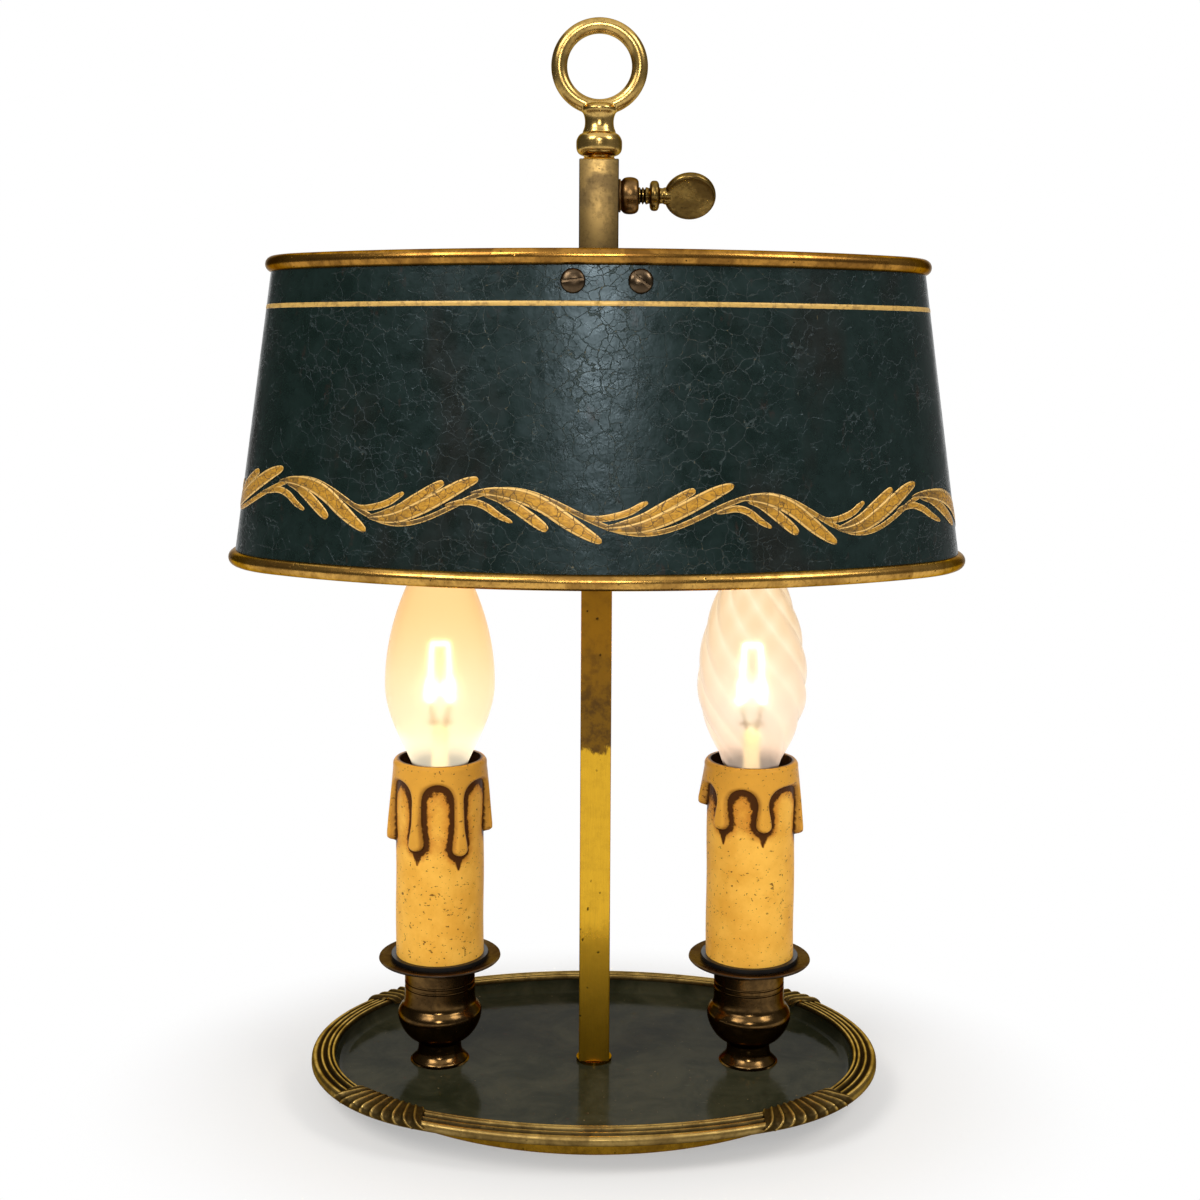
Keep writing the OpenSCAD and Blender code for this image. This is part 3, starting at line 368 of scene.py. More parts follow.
toleLook = {
    "base": (0.0028, 0.0086, 0.0058),
    "light": (0.0050, 0.0135, 0.0100),
    "brown": (0.0100, 0.0072, 0.0040),
    "crack": (0.030, 0.040, 0.032),
    "goldCrack": (0.16, 0.12, 0.05),
    "rust": (0.05, 0.016, 0.009),
    "ior": 1.5,
    "sheen": (0.72, 0.90, 1.0, 1),
    # Distances from the middle over which the cracks show more and lighter: a painted glint of the front
    # lamp's highlight
    "glintFrom": 85.0,
    "glintTo": 15.0,
}


# Dark green paint with a net of fine cracks, some filled with old gilding; towards the middle more cracks
# show and they are lighter, a painted glint
def crackledPaint():
    paint = Finish("tole_paint")
    at = paint.place()
    wide = paint.cells(paint.shaken(at, 0.35, 2.6), 0.165, "DISTANCE_TO_EDGE")
    fine = paint.cells(paint.shaken(at, 0.6, 1.4), 0.33, "DISTANCE_TO_EDGE")
    wearAndGlint = paint.step(abs(paint.part(at, "X")), toleLook["glintFrom"], toleLook["glintTo"])
    # More cracks show towards the middle, a painted glint of the highlight
    wideShown = paint.step(paint.noise(at, 0.05, 3.0, 0.6) + wearAndGlint * 0.16, 0.46, 0.62)
    fineShown = paint.step(paint.noise(at, 0.09, 3.0, 0.6) + wearAndGlint * 0.06, 0.52, 0.66)
    wide = paint.step(wide, 0.022, 0.006) * wideShown
    cracks = wide.most(paint.step(fine, 0.026, 0.008) * fineShown * 0.6)
    mottle = paint.patches(at, 0.13, 0.3, 0.72, 5.0, 0.65)
    tone = paint.mix(mottle, toleLook["base"], toleLook["light"])
    rust = paint.patches(paint.stretch(at, 1.0, 1.0, 0.45), 0.22, 0.60, 0.74, 5.0, 0.7)
    tone = paint.mix(rust * 0.35, tone, toleLook["rust"])
    brown = paint.patches(paint.stretch(at, 1.0, 1.0, 0.4), 0.03, 0.50, 0.66, 4.0, 0.6)
    tone = paint.mix(brown * 0.65, tone, toleLook["brown"])
    gilded = paint.patches(at, 0.9, 0.60, 0.72, 2.0)
    filling = paint.mix(gilded, toleLook["crack"], toleLook["goldCrack"])
    # Lighter cracks: filling, and towards the middle a painted glint
    tone = paint.mix(cracks * (wearAndGlint * 0.45 + 0.25), tone, filling)
    scratch = paint.patches(paint.stretch(at, 1.0, 1.0, 0.08), 1.2, 0.78, 0.82, 2.0)
    tone = paint.mix(scratch * 0.5, tone, toleLook["goldCrack"])
    rough = cracks * 0.25 + mottle * 0.10 + 0.24
    relief = paint.noise(at, 0.22, 3.0, 0.6) * 1.0 + paint.noise(at, 1.6, 3.0, 0.6) * 0.12 - cracks * 2.0
    return paint.give({"Base Color": tone, "Roughness": rough, "IOR": toleLook["ior"],
                       "Specular Tint": toleLook["sheen"], "Normal": paint.bump(relief, 0.14)})


def shadeInside():
    paint = Finish("shade_inside")
    at = paint.place()
    tone = paint.mix(paint.noise(at, 0.05, 4.0, 0.6), (0.62, 0.53, 0.34), (0.46, 0.38, 0.22))
    return paint.give({"Base Color": tone, "Roughness": 0.5,
                       "Normal": paint.bump(paint.noise(at, 0.9), 0.05)})


giltLook = {
    "leaf": (0.62, 0.31, 0.030),
    "dark": (0.27, 0.120, 0.014),
    "root": (0.060, 0.042, 0.018),
    "edge": (0.85, 0.52, 0.15),
    "inner": (0.22, 0.12, 0.03),
    "outline": (0.05, 0.034, 0.014),
}


# Gold leaf paint: bright along the edges with a darker line inside, browner towards the root
def gildedPaint():
    gilt = Finish("gilt_paint")
    at = gilt.place()
    across = gilt.stored("across")
    along = gilt.stored("along")
    streaks = gilt.patches(gilt.stretch(at, 1.0, 1.0, 2.0), 0.7, 0.36, 0.68, 4.0, 0.65)
    tone = gilt.mix(streaks * 0.8, giltLook["leaf"], giltLook["dark"])
    root = gilt.step(along, 0.52, 0.05) * gilt.patches(at, 0.4, 0.28, 0.55, 3.0)
    tone = gilt.mix(root * 0.9, tone, giltLook["root"])
    tone = gilt.mix(gilt.step(across, 0.50, 0.62) * 0.55, tone, giltLook["inner"])
    tone = gilt.mix(gilt.step(across, 0.64, 0.76) * 0.9, tone, giltLook["edge"])
    tone = gilt.mix(gilt.step(across, 0.93, 1.0) * 0.9, tone, giltLook["outline"])
    chips = gilt.patches(at, 1.5, 0.68, 0.74, 2.0)
    tone = gilt.mix(chips * 0.8, tone, giltLook["outline"])
    cracks = gilt.step(gilt.cells(gilt.shaken(at, 0.6, 1.4), 0.27, "DISTANCE_TO_EDGE"), 0.035, 0.010)
    tone = gilt.mix(cracks * 0.85, tone, (0.070, 0.036, 0.010))
    return gilt.give({"Base Color": tone, "Metallic": 0.15, "Roughness": 0.36, "IOR": 1.4,
                      "Normal": gilt.bump(streaks * 0.4 - cracks - chips, 0.05)})


def ruledGilt():
    gilt = Finish("ruled_gilt")
    at = gilt.place()
    wearAndGlint = gilt.patches(at, 0.5, 0.45, 0.68, 4.0, 0.65)
    tone = gilt.mix(wearAndGlint * 0.8, (0.62, 0.38, 0.10), (0.30, 0.17, 0.045))
    gaps = gilt.patches(at, 1.1, 0.70, 0.76, 2.0)
    tone = gilt.mix(gaps * 0.85, tone, giltLook["outline"])
    return gilt.give({"Base Color": tone, "Metallic": 0.15, "Roughness": 0.36, "IOR": 1.4,
                      "Normal": gilt.bump(wearAndGlint - gaps, 0.03)})


trayLook = {
    "base": (0.018, 0.019, 0.009),
    "light": (0.046, 0.043, 0.023),
    "rust": (0.06, 0.024, 0.012),
    "scuff": (0.12, 0.115, 0.075),
    "chip": (0.30, 0.21, 0.10),
    "ior": 1.09,
    "sheen": (1.0, 0.96, 0.74, 1),
}


def trayPaint():
    paint = Finish("tray_paint")
    at = paint.place()
    clouds = paint.patches(at, 0.06, 0.3, 0.72, 5.0, 0.65, 0.5)
    tone = paint.mix(clouds, trayLook["base"], trayLook["light"])
    rust = paint.patches(at, 0.33, 0.62, 0.75, 5.0, 0.7)
    tone = paint.mix(rust * 0.7, tone, trayLook["rust"])
    scuffs = paint.patches(paint.stretch(at, 0.25, 1.6, 1.0), 0.5, 0.66, 0.74, 4.0, 0.7)
    tone = paint.mix(scuffs * 0.5, tone, trayLook["scuff"])
    chips = paint.patches(at, 0.9, 0.74, 0.77, 2.0)
    tone = paint.mix(chips * 0.7, tone, trayLook["chip"])
    rough = clouds * 0.08 + rust * 0.12 + 0.09
    relief = paint.noise(at, 0.35, 4.0, 0.6) - chips * 0.6
    return paint.give({"Base Color": tone, "Roughness": rough, "IOR": trayLook["ior"],
                       "Specular Tint": trayLook["sheen"], "Normal": paint.bump(relief, 0.05)})


waxLook = {
    "body": (0.93, 0.50, 0.078),
    "amber": (0.80, 0.385, 0.048),
    "melt": (0.67, 0.32, 0.042),
    "meltEdge": (0.46, 0.20, 0.032),
    "fade": (0.48, 0.14, 0.012),
    "glaze": (0.030, 0.007, 0.002),
    "speck": (0.11, 0.042, 0.010),
    "bore": (0.016, 0.007, 0.003),
}


# Ivory wax; "gap" stores the distance outside the molten wax, "streak" the glaze under each drip and "bore"
# the wall inside, which is painted near black as the shade inside the tube.
def candleWax():
    wax = Finish("candle_wax")
    at = wax.place()
    gap = wax.stored("gap") + (wax.noise(at, 0.55, 4.0, 0.65) - 0.5) * 2.4
    streak = wax.stored("streak") + (wax.noise(wax.stretch(at, 1.0, 1.0, 0.3), 0.9, 3.0, 0.6) - 0.5) * 0.9
    clouds = wax.patches(at, 0.12, 0.3, 0.72, 4.0, 0.6)
    tone = wax.mix(clouds, waxLook["body"], waxLook["amber"])
    fade = wax.step(gap, 4.2, 1.4).most(wax.step(streak, 0.12, 0.55))
    tone = wax.mix(fade * 0.75, tone, waxLook["fade"])
    glaze = wax.step(gap, 2.1, 1.5).most(wax.step(streak, 0.40, 0.66))
    tone = wax.mix(glaze * 0.93, tone, waxLook["glaze"])
    molten = wax.step(wax.stored("gap"), 0.12, -0.12)
    melt = wax.mix(wax.step(wax.stored("gap"), -0.9, -0.1), waxLook["melt"], waxLook["meltEdge"])
    tone = wax.mix(molten, tone, wax.mix(clouds * 0.5, melt, waxLook["amber"]))
    # Painted shade: the wall inside the tube is near black
    tone = wax.mix(wax.stored("bore"), tone, waxLook["bore"])
    specks = wax.patches(wax.stretch(at, 1.0, 1.0, 1.5), 0.42, 0.625, 0.66, 4.0, 0.75)
    dots = wax.patches(at, 1.1, 0.70, 0.73, 1.0)
    tone = wax.mix(specks.most(dots) * 0.85, tone, waxLook["speck"])
    rough = 0.42 - glaze * 0.12
    return wax.give({"Base Color": tone, "Roughness": rough, "IOR": 1.13,
                     "Normal": wax.bump(wax.noise(at, 0.5, 4.0, 0.6) - specks * 0.7, 0.12)})


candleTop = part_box("candle_sleeve_left")[1].z / mm
glassLooks = {
    "left": {"low": (0.98, 0.92, 0.77), "high": (0.94, 0.78, 0.53), "fluteHighlight": (1, 1, 1), "rough": 0.42,
             "glow": (0.09, 0.045, 0.015), "lowTint": (0.66, 0.58, 0.44), "lowGlow": (0.34, 0.31, 0.25)},
    "right": {"low": (0.94, 0.86, 0.77), "high": (0.92, 0.80, 0.62), "fluteHighlight": (1.0, 0.96, 0.83), "rough": 0.40,
              "glow": (0.06, 0.035, 0.02), "lowTint": (0.72, 0.62, 0.52), "lowGlow": (0.20, 0.16, 0.13)},
}


# Tinted, slightly frosted glass that glows a little with the light inside it, with a painted shadow where it
# meets the candle
def litGlass(side):
    look = glassLooks[side]
    glass = Finish("bulb_" + side)
    at = glass.place()
    height = glass.part(at, "Z")
    tint = glass.mix(glass.step(height, candleTop + 7.0, candleTop + 53.0), look["low"], look["high"])
    # The twisted bulb's grooves are lighter: painted highlight bands along the flutes
    tint = glass.mix(glass.stored("fluteHighlight"), tint, look["fluteHighlight"])
    frosted = glass.step(height, candleTop + 12.0, candleTop + 4.0)
    tint = glass.mix(frosted, tint, look["lowTint"])
    # Painted shadow: just above the candle's top the glass is dark brown and does not glow
    foot = glass.step(height, candleTop - 0.4, candleTop - 1.8)
    tint = glass.mix(foot * 0.9, tint, (0.16, 0.085, 0.03))
    waves = glass.noise(glass.stretch(at, 1.0, 1.0, 0.5), 0.16, 3.0, 0.6)
    glow = glass.mix(waves, look["glow"], tuple(c * 0.8 for c in look["glow"]))
    glow = glass.mix(frosted, glow, look["lowGlow"])
    glow = glass.mix(foot, glow, (0, 0, 0))
    return glass.give({"Base Color": tint, "Roughness": look["rough"], "IOR": 1.16,
                       "Transmission Weight": 1.0, "Emission Color": glow, "Emission Strength": 1.0,
                       "Normal": glass.bump(waves, 0.1)})


def glowing(name, color, strength):
    hot = Finish("glow_" + name)
    flicker = hot.noise(hot.place(), 0.6, 2.0)
    tone = hot.mix(flicker, color, tuple(c * 0.85 for c in color))
    return hot.give({"Base Color": tone, "Emission Color": tone, "Emission Strength": strength})


# Light tone, dark tone, metal share, roughness, fineness of the grain
plainLooks = {
    "steel": ((0.45, 0.44, 0.42), (0.28, 0.27, 0.26), 1.0, 0.38, 2.0),
    "baize": ((0.016, 0.06, 0.03), (0.008, 0.032, 0.016), 0.0, 0.95, 4.0),
    "rubber": ((0.018, 0.017, 0.016), (0.008, 0.008, 0.008), 0.0, 0.7, 3.0),
    "enamel": ((0.006, 0.006, 0.006), (0.003, 0.003, 0.003), 0.0, 0.4, 0.8),
    "phenolic": ((0.02, 0.018, 0.017), (0.009, 0.008, 0.008), 0.0, 0.3, 1.5),
    "nylon": ((0.72, 0.68, 0.6), (0.58, 0.54, 0.46), 0.0, 0.45, 1.2),
    "jacket": ((0.46, 0.38, 0.2), (0.34, 0.27, 0.14), 0.0, 0.5, 2.4),
    "nickel": ((0.62, 0.58, 0.5), (0.42, 0.38, 0.31), 1.0, 0.25, 1.5),
    "vitrite": ((0.012, 0.011, 0.012), (0.004, 0.004, 0.005), 0.0, 0.12, 1.0),
}


def plain(name):
    light, dark, metal, smooth, fineness = plainLooks[name]
    finish = Finish(name)
    at = finish.place()
    clouds = finish.noise(at, fineness * 0.2, 4.0, 0.6)
    grain = finish.noise(at, fineness, 3.0, 0.6)
    tone = finish.mix(finish.step(clouds, 0.3, 0.7), light, dark)
    rough = grain * 0.12 + smooth - 0.06
    return finish.give({"Base Color": tone, "Metallic": metal, "Roughness": rough,
                        "Normal": finish.bump(grain, 0.05)})


brass = {name: agedBrass(name) for name in brassLooks}
plainFinish = {name: plain(name) for name in plainLooks}
waxFinish = candleWax()
giltFinish = gildedPaint()
print("finishes")


mergeWithin = 0.02


# The piece's place, turn and size go into its mesh.
def settle(piece):
    deselect()
    piece.select_set(True)
    bpy.context.view_layer.objects.active = piece
    bpy.ops.object.transform_apply(location=True, rotation=True, scale=True)


def startEdit(select="SELECT"):
    bpy.ops.object.mode_set(mode="EDIT")
    bpy.ops.mesh.select_all(action=select)


def endEdit():
    bpy.ops.object.mode_set(mode="OBJECT")


# Merged doubles, normals outwards and smooth shading up to an angle
def outward(piece, angle=35.0):
    settle(piece)
    startEdit()
    bpy.ops.mesh.remove_doubles(threshold=mergeWithin * mm)
    bpy.ops.mesh.normals_make_consistent(inside=False)
    endEdit()
    bpy.ops.object.shade_smooth_by_angle(angle=math.radians(angle))


def applied(piece, kind, **settings):
    settle(piece)
    modifier = piece.modifiers.new(kind.lower(), kind)
    for key, value in settings.items():
        setattr(modifier, key, value)
    bpy.ops.object.modifier_apply(modifier=modifier.name)


# A smooth line through the points, with the given steps between neighbours
def smoothLine(points, steps):
    line = []
    last = len(points) - 1
    for i in range(last):
        a, b, c, d = (Vector(points[min(max(k, 0), last)]) for k in (i - 1, i, i + 1, i + 2))
        for j in range(steps):
            t = j / steps
            line.append(0.5 * ((2 * b) + (c - a) * t + (2 * a - 5 * b + 4 * c - d) * t * t
                               + (3 * b - a - 3 * c + d) * t ** 3))
    line.append(Vector(points[last]))
    return [tuple(p) for p in line]


poleRadius = 0.01


# A turned piece about the upright line at x: each profile point is a radius and a height.
def turned(name, profile, x=0.0, around=96, close=False, angle=35.0):
    radius, height = profile[0]
    previous = max(radius, poleRadius)
    piece = begun(name, bpy.ops.mesh.primitive_circle_add, vertices=around, radius=previous * mm,
                  location=(x * mm, 0, height * mm))
    startEdit()
    if not close:
        bpy.ops.mesh.edge_face_add()
    for ring, level in profile[1:]:
        size = max(ring, poleRadius)
        bpy.ops.mesh.extrude_region_move(TRANSFORM_OT_translate={"value": (0, 0, (level - height) * mm)})
        ratio = size / previous
        bpy.ops.transform.resize(value=(ratio, ratio, 1), center_override=(x * mm, 0, level * mm))
        previous, height = size, level
    endEdit()
    outward(piece, angle)
    return piece


def beveledBar(name, low, high, bevel, steps=3):
    piece = begun(name, bpy.ops.mesh.primitive_cube_add, size=1,
                  location=[(a + b) / 2 for a, b in zip(low, high)])
    piece.scale = [b - a for a, b in zip(low, high)]
    settle(piece)
    startEdit()
    bpy.ops.mesh.bevel(offset=bevel * mm, segments=steps, profile=0.5, affect="EDGES")
    endEdit()
    outward(piece)
    return piece


def rod(name, start, end, radius):
    start, end = Vector(start) * mm, Vector(end) * mm
    along = end - start
    piece = begun(name, bpy.ops.mesh.primitive_cylinder_add, vertices=16, radius=radius * mm,
                  depth=along.length, location=(start + end) / 2,
                  rotation=along.to_track_quat("Z", "Y").to_euler())
    settle(piece)
    return piece


# An oval of four arcs whose centres stand on a p-q-h right triangle
class Oval:
    def __init__(self, halfWidth, halfDepth, p, q, h):
        unit = (halfWidth - halfDepth) / (p + q - h)
        self.endX = p * unit
        self.endR = halfWidth - self.endX
        self.sideY = q * unit
        self.sideR = self.endR + h * unit
        self.lean = math.atan2(p, q)
        self.sideLength = self.sideR * self.lean
        self.endLength = self.endR * (math.pi - 2 * self.lean)
        self.length = 4 * self.sideLength + 2 * self.endLength

    # The place at a run along the oval from the middle of the front, offset outwards
    def at(self, run, offset=0.0):
        half = self.length / 2
        run = (run + half) % self.length - half
        mirror = 1 if run >= 0 else -1
        run = abs(run)
        if run <= self.sideLength:
            turn = run / self.sideR
            x, y = (self.sideR + offset) * math.sin(turn), self.sideY - (self.sideR + offset) * math.cos(turn)
        elif run < self.sideLength + self.endLength:
            turn = self.lean + (run - self.sideLength) / self.endR
            x, y = self.endX + (self.endR + offset) * math.sin(turn), -(self.endR + offset) * math.cos(turn)
        else:
            turn = (half - run) / self.sideR
            x, y = (self.sideR + offset) * math.sin(turn), (self.sideR + offset) * math.cos(turn) - self.sideY
        return mirror * x, y


# A section of (offset, height) points carried round an oval; marks give the groove value of each point.
def swept(name, oval, section, around=320, close=True, angle=35.0, marks=None):
    piece = begun(name, bpy.ops.mesh.primitive_circle_add, vertices=around, radius=oval.endX * mm)
    startEdit()
    runs, grooves = {}, []
    ring = section + [section[0]] if close else section
    for level, (offset, height) in enumerate(ring):
        if level:
            bpy.ops.mesh.extrude_region_move(TRANSFORM_OT_translate={"value": (0, 0, 0)})
        form = bmesh.from_edit_mesh(piece.data)
        form.verts.index_update()
        for v in [v for v in form.verts if v.select]:
            if level:
                run = runs[next(e.other_vert(v) for e in v.link_edges if not e.other_vert(v).select).index]
            else:
                run = oval.length * v.index / around
            runs[v.index] = run
            x, y = oval.at(run, offset)
            v.co = (x * mm, y * mm, height * mm)
        grooves += [marks[level % len(section)] if marks else 0.0] * around
        bmesh.update_edit_mesh(piece.data)
    endEdit()
    store(piece, "groove", grooves)
    outward(piece, angle)
    return piece


def placed(piece, move):
    for v in piece.data.vertices:
        v.co = move(v.co)
    piece.data.update()


def store(piece, name, values):
    layer = piece.data.attributes.new(name, "FLOAT", "POINT")
    layer.data.foreach_set("value", values)


def wear(piece, finish, body, slot, *standsFor):
    piece.data.materials.clear()
    piece.data.materials.append(finish)
    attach(piece, body)
    if standsFor:
        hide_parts(*standsFor)


def dress(finish, *names):
    for name in names:
        nodes[name].data.materials.clear()
        nodes[name].data.materials.append(finish)


# Selects the open edges, or only those at a height in millimetres
def selectOpen(piece, level=None):
    bpy.ops.mesh.select_all(action="DESELECT")
    form = bmesh.from_edit_mesh(piece.data)
    for edge in form.edges:
        if edge.is_boundary and (level is None or all(abs(v.co.z - level * mm) < 1e-6 for v in edge.verts)):
            edge.select = True
    bmesh.update_edit_mesh(piece.data)


def joined(name, pieces):
    deselect()
    for piece in pieces:
        piece.select_set(True)
    bpy.context.view_layer.objects.active = pieces[0]
    bpy.ops.object.join()
    return newest(name)


low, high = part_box("shade")
rimLow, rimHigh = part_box("shade_top_rim")
footLow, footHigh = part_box("shade_bottom_rim")
shade = {
    "top": high.z / mm,
    "bottom": low.z / mm,
    "thick": 0.8,
    "topRim": (rimHigh.z - rimLow.z) / mm,
    "bottomRim": (footHigh.z - footLow.z) / mm,
    "topRimAt": (rimHigh.z + rimLow.z) / 2 / mm,
    "bottomRimAt": (footHigh.z + footLow.z) / 2 / mm,
}
shade["halfWidth"] = rimHigh.x / mm - shade["topRim"] / 2
shade["halfDepth"] = rimHigh.y / mm - shade["topRim"] / 2
shade["flare"] = footHigh.x / mm - shade["bottomRim"] / 2 - shade["halfWidth"]
shadeOval = Oval(shade["halfWidth"], shade["halfDepth"], 3, 4, 5)


def flareAt(height):
    return shade["flare"] * (shade["topRimAt"] - height) / (shade["topRimAt"] - shade["bottomRimAt"])


def flaredSheet():
    heights = [shade["top"] + (shade["bottom"] - shade["top"]) * i / 6 for i in range(7)]
    outer = [(flareAt(z) + shade["thick"] / 2, z) for z in heights]
    inner = [(offset - shade["thick"], z) for offset, z in outer]
    sheet = swept("flared_sheet", shadeOval, outer + inner[::-1], 400)
    wear(sheet, crackledPaint(), "shade_slider", "shade_tole", "shade")
    sheet.data.materials.append(shadeInside())
    for face in sheet.data.polygons:
        middle = face.center
        if face.normal.x * middle.x + face.normal.y * middle.y < 0:
            face.material_index = 1


def rolledRim(name, at, height, size, look, node):
    turns = [2 * math.pi * i / 24 for i in range(24)]
    circle = [(at + size / 2 * math.cos(turn), height + size / 2 * math.sin(turn)) for turn in turns]
    wear(swept(name, shadeOval, circle, 400), brass[look], "shade_slider", "rim_brass", node)


flaredSheet()
rolledRim("rolled_top_rim", 0, shade["topRimAt"], shade["topRim"], "topRim", "shade_top_rim")
rolledRim("rolled_bottom_rim", shade["flare"], shade["bottomRimAt"], shade["bottomRim"], "bottomRim",
          "shade_bottom_rim")

# The painted vine is a wave with three leaves under each falling stretch and three over each rising one.
# Leaf points count from the crest or trough along the oval and from the wave's middle upwards.
vine = {
    "crests": [-86.7, -23.6, 46.3, 103.7],
    "backRepeats": 5,
    "middle": 192.1,
    "sway": -1.9,
    "swing": 5.6,
    "stemHalf": 0.75,
    "repeat": 66.0,
    "lift": 0.05,
    "overlap": 0.05,
    "crown": 0.1,
    "paint": 0.04,
    "falling": [
        ([(-10, 4.3), (-5, 4.9), (0.5, 4.45), (5.5, 3.1), (10, 0.8), (14.6, -2.5), (18.8, -5.4),
          (23.5, -8.3)], 2.2),
        ([(-6.5, 3.6), (-2.5, 2.9), (1.4, 1.0), (5.3, -1.75), (8.3, -4.05), (10, -5.4)], 1.6),
        ([(-16.6, 0.4), (-14.6, 0.9), (-10.1, 1.75), (-6.1, 0.75), (-2.4, -1.75), (1.2, -3.6)], 1.05),
    ],
    "rising": [
        ([(-9, -4.5), (-4, -4.5), (1.0, -3.5), (6, -1.3), (10.7, 1.2), (15.5, 4.0), (20.1, 6.65),
          (24.2, 8.4)], 2.1),
        ([(-9, -3.9), (-4.5, -2.9), (1.0, -0.9), (5.6, 1.85), (9.5, 4.25), (12.6, 6.15), (14.1, 6.85)], 1.4),
        ([(-16, 0.3), (-13, -1.3), (-9.9, -1.6), (-6.2, -0.9), (-2.6, 0.45), (0.3, 2.35), (2.0, 3.35)], 1.0),
    ],
}


def vineMiddle(run):
    return vine["middle"] + vine["sway"] * math.sin(2 * math.pi * run / shadeOval.length)


# A thin painted band on the shade along a line of (run, height) points
def ribbon(name, middle, widths, lift):
    count = len(middle)
    piece = begun(name, bpy.ops.mesh.primitive_grid_add, x_subdivisions=count - 1, y_subdivisions=10, size=1)
    settle(piece)
    across, along = [], []
    for v in piece.data.vertices:
        i = min(count - 1, max(0, round((v.co.x + 0.5) * (count - 1))))
        side = v.co.y * 2
        run, height = middle[i]
        nextRun, nextHeight = middle[min(i + 1, count - 1)]
        lastRun, lastHeight = middle[max(i - 1, 0)]
        slope = Vector((nextRun - lastRun, nextHeight - lastHeight)).normalized()
        run -= slope.y * side * widths[i]
        height += slope.x * side * widths[i]
        crown = vine["crown"] * (1 - side * side)
        x, y = shadeOval.at(run, flareAt(height) + shade["thick"] / 2 + lift + crown)
        v.co = (x * mm, y * mm, height * mm)
        across.append(abs(side))
        along.append(i / (count - 1))
    store(piece, "across", across)
    store(piece, "along", along)
    return piece


leafShape = {"widest": 0.52, "swell": 0.8, "blunt": 2.8, "least": 0.04}


# Half widths along a leaf, from its pointed root to its rounded tip
def leafWidths(count, half):
    widest = leafShape["widest"]
    widths = []
    for i in range(count):
        t = i / (count - 1)
        swell = math.sin(math.pi / 2 * min(1, t / widest)) ** leafShape["swell"]
        past = max(0, (t - widest) / (1 - widest))
        blunt = math.sqrt(max(0, 1 - past ** leafShape["blunt"]))
        widths.append(max(leafShape["least"], half * swell * blunt))
    return widths


def paintedVine():
    crests = list(vine["crests"])
    gap = (shadeOval.length - (crests[-1] - crests[0])) / vine["backRepeats"]
    crests += [crests[-1] + gap * (i + 1) for i in range(vine["backRepeats"] - 1)]
    ends = crests[1:] + [crests[0] + shadeOval.length]
    parts, line = [], []
    for start, end in zip(crests, ends):
        ratio = (end - start) / vine["repeat"]
        for origin, leaves in ((start, vine["falling"]), ((start + end) / 2, vine["rising"])):
            for k, (points, half) in enumerate(leaves):
                spine = [(origin + a * ratio, vineMiddle(origin + a * ratio) + b) for a, b in points]
                spine = smoothLine(spine, 8)
                lift = vine["lift"] + vine["overlap"] * (3 - k)
                parts.append(ribbon("leaf", spine, leafWidths(len(spine), half), lift))
        for i in range(64):
            run = start + (end - start) * i / 64
            line.append((run, vineMiddle(run) + vine["swing"] * math.cos(2 * math.pi * i / 64)))
    line.append((ends[-1], line[0][1]))
    parts.append(ribbon("vine", line, [vine["stemHalf"]] * len(line), vine["lift"]))
    piece = joined("gilt_vine", parts)
    applied(piece, "SOLIDIFY", thickness=vine["paint"] * mm, offset=-1)
    bpy.ops.object.shade_smooth()
    return piece


wear(paintedVine(), giltFinish, "shade_slider", "shade_tole")

ruled = {"height": 250.9, "half": 0.72, "lift": 0.02}


def ruledLine():
    line = [(shadeOval.length * i / 400, ruled["height"]) for i in range(401)]
    piece = ribbon("ruled_line", line, [ruled["half"]] * 401, ruled["lift"])
    applied(piece, "SOLIDIFY", thickness=vine["paint"] * mm, offset=-1)
    bpy.ops.object.shade_smooth()
    return piece


wear(ruledLine(), ruledGilt(), "shade_slider", "shade_tole")

head = {
    "half": 3.6,
    "rise": 1.7,
    "edge": 0.25,
    "slot": 0.85,
    "depth": 0.75,
    "gap": 19.2,
    "shift": 2.4,
    "drop": 6.9,
    "shank": 1.75,
    "length": 4.6,
    "slots": {(0, -1): 6.0, (0, 1): -38.0, (1, -1): 65.0, (1, 1): 12.0},
}


# A domed head with a sawn slot, on a plain shank
def slottedScrew(turn):
    dome = [(head["half"] * math.sin(math.radians(a)), head["rise"] * math.cos(math.radians(a)) ** 0.8)
            for a in range(84, 0, -7)]
    profile = [(head["shank"], -head["length"]), (head["shank"], 0.0), (head["half"], 0.0),
               (head["half"], head["edge"])]
    piece = turned("slotted_screw", profile + dome + [(0.0, head["rise"])], around=48)
    saw = begun("saw", bpy.ops.mesh.primitive_cube_add, size=1,
                location=(0, 0, (head["rise"] + 1.0 - head["depth"]) * mm))
    saw.scale = (3 * head["half"] * mm, head["slot"] * mm, 2 * mm)
    saw.rotation_euler = (0, 0, math.radians(turn))
    settle(saw)
    applied(piece, "BOOLEAN", operation="DIFFERENCE", object=saw, solver="EXACT")
    bpy.data.objects.remove(saw)
    outward(piece, 30)
    return piece


# Two screws in front and two behind, square to the flared sheet
def shadeScrews():
    height = shade["topRimAt"] - head["drop"]
    tilt = math.atan2(shade["flare"], shade["topRimAt"] - shade["bottomRimAt"])
    radius = shadeOval.sideR + flareAt(height)
    lean, shift = math.asin(head["gap"] / 2 / radius), math.asin(head["shift"] / radius)
    pieces = []
    for (back, side), slot in head["slots"].items():
        screw = slottedScrew(slot)
        turn = side * lean + shift
        x, y = shadeOval.at(turn * shadeOval.sideR, flareAt(height) + shade["thick"] / 2 + 0.1)
        screw.rotation_euler = (math.pi / 2 - tilt, 0, turn)
        screw.location = (x * mm, y * mm, height * mm)
        settle(screw)
        screw.rotation_euler = (0, 0, math.pi * back)
        settle(screw)
        pieces.append(screw)
    return joined("slotted_screws", pieces)


wear(shadeScrews(), brass["screws"], "shade_slider", "screw_brass", "shade_screws")
dress(brass["plain"], "shade_nuts")
dress(brass["slider"], "shade_bracket")
print("shade")

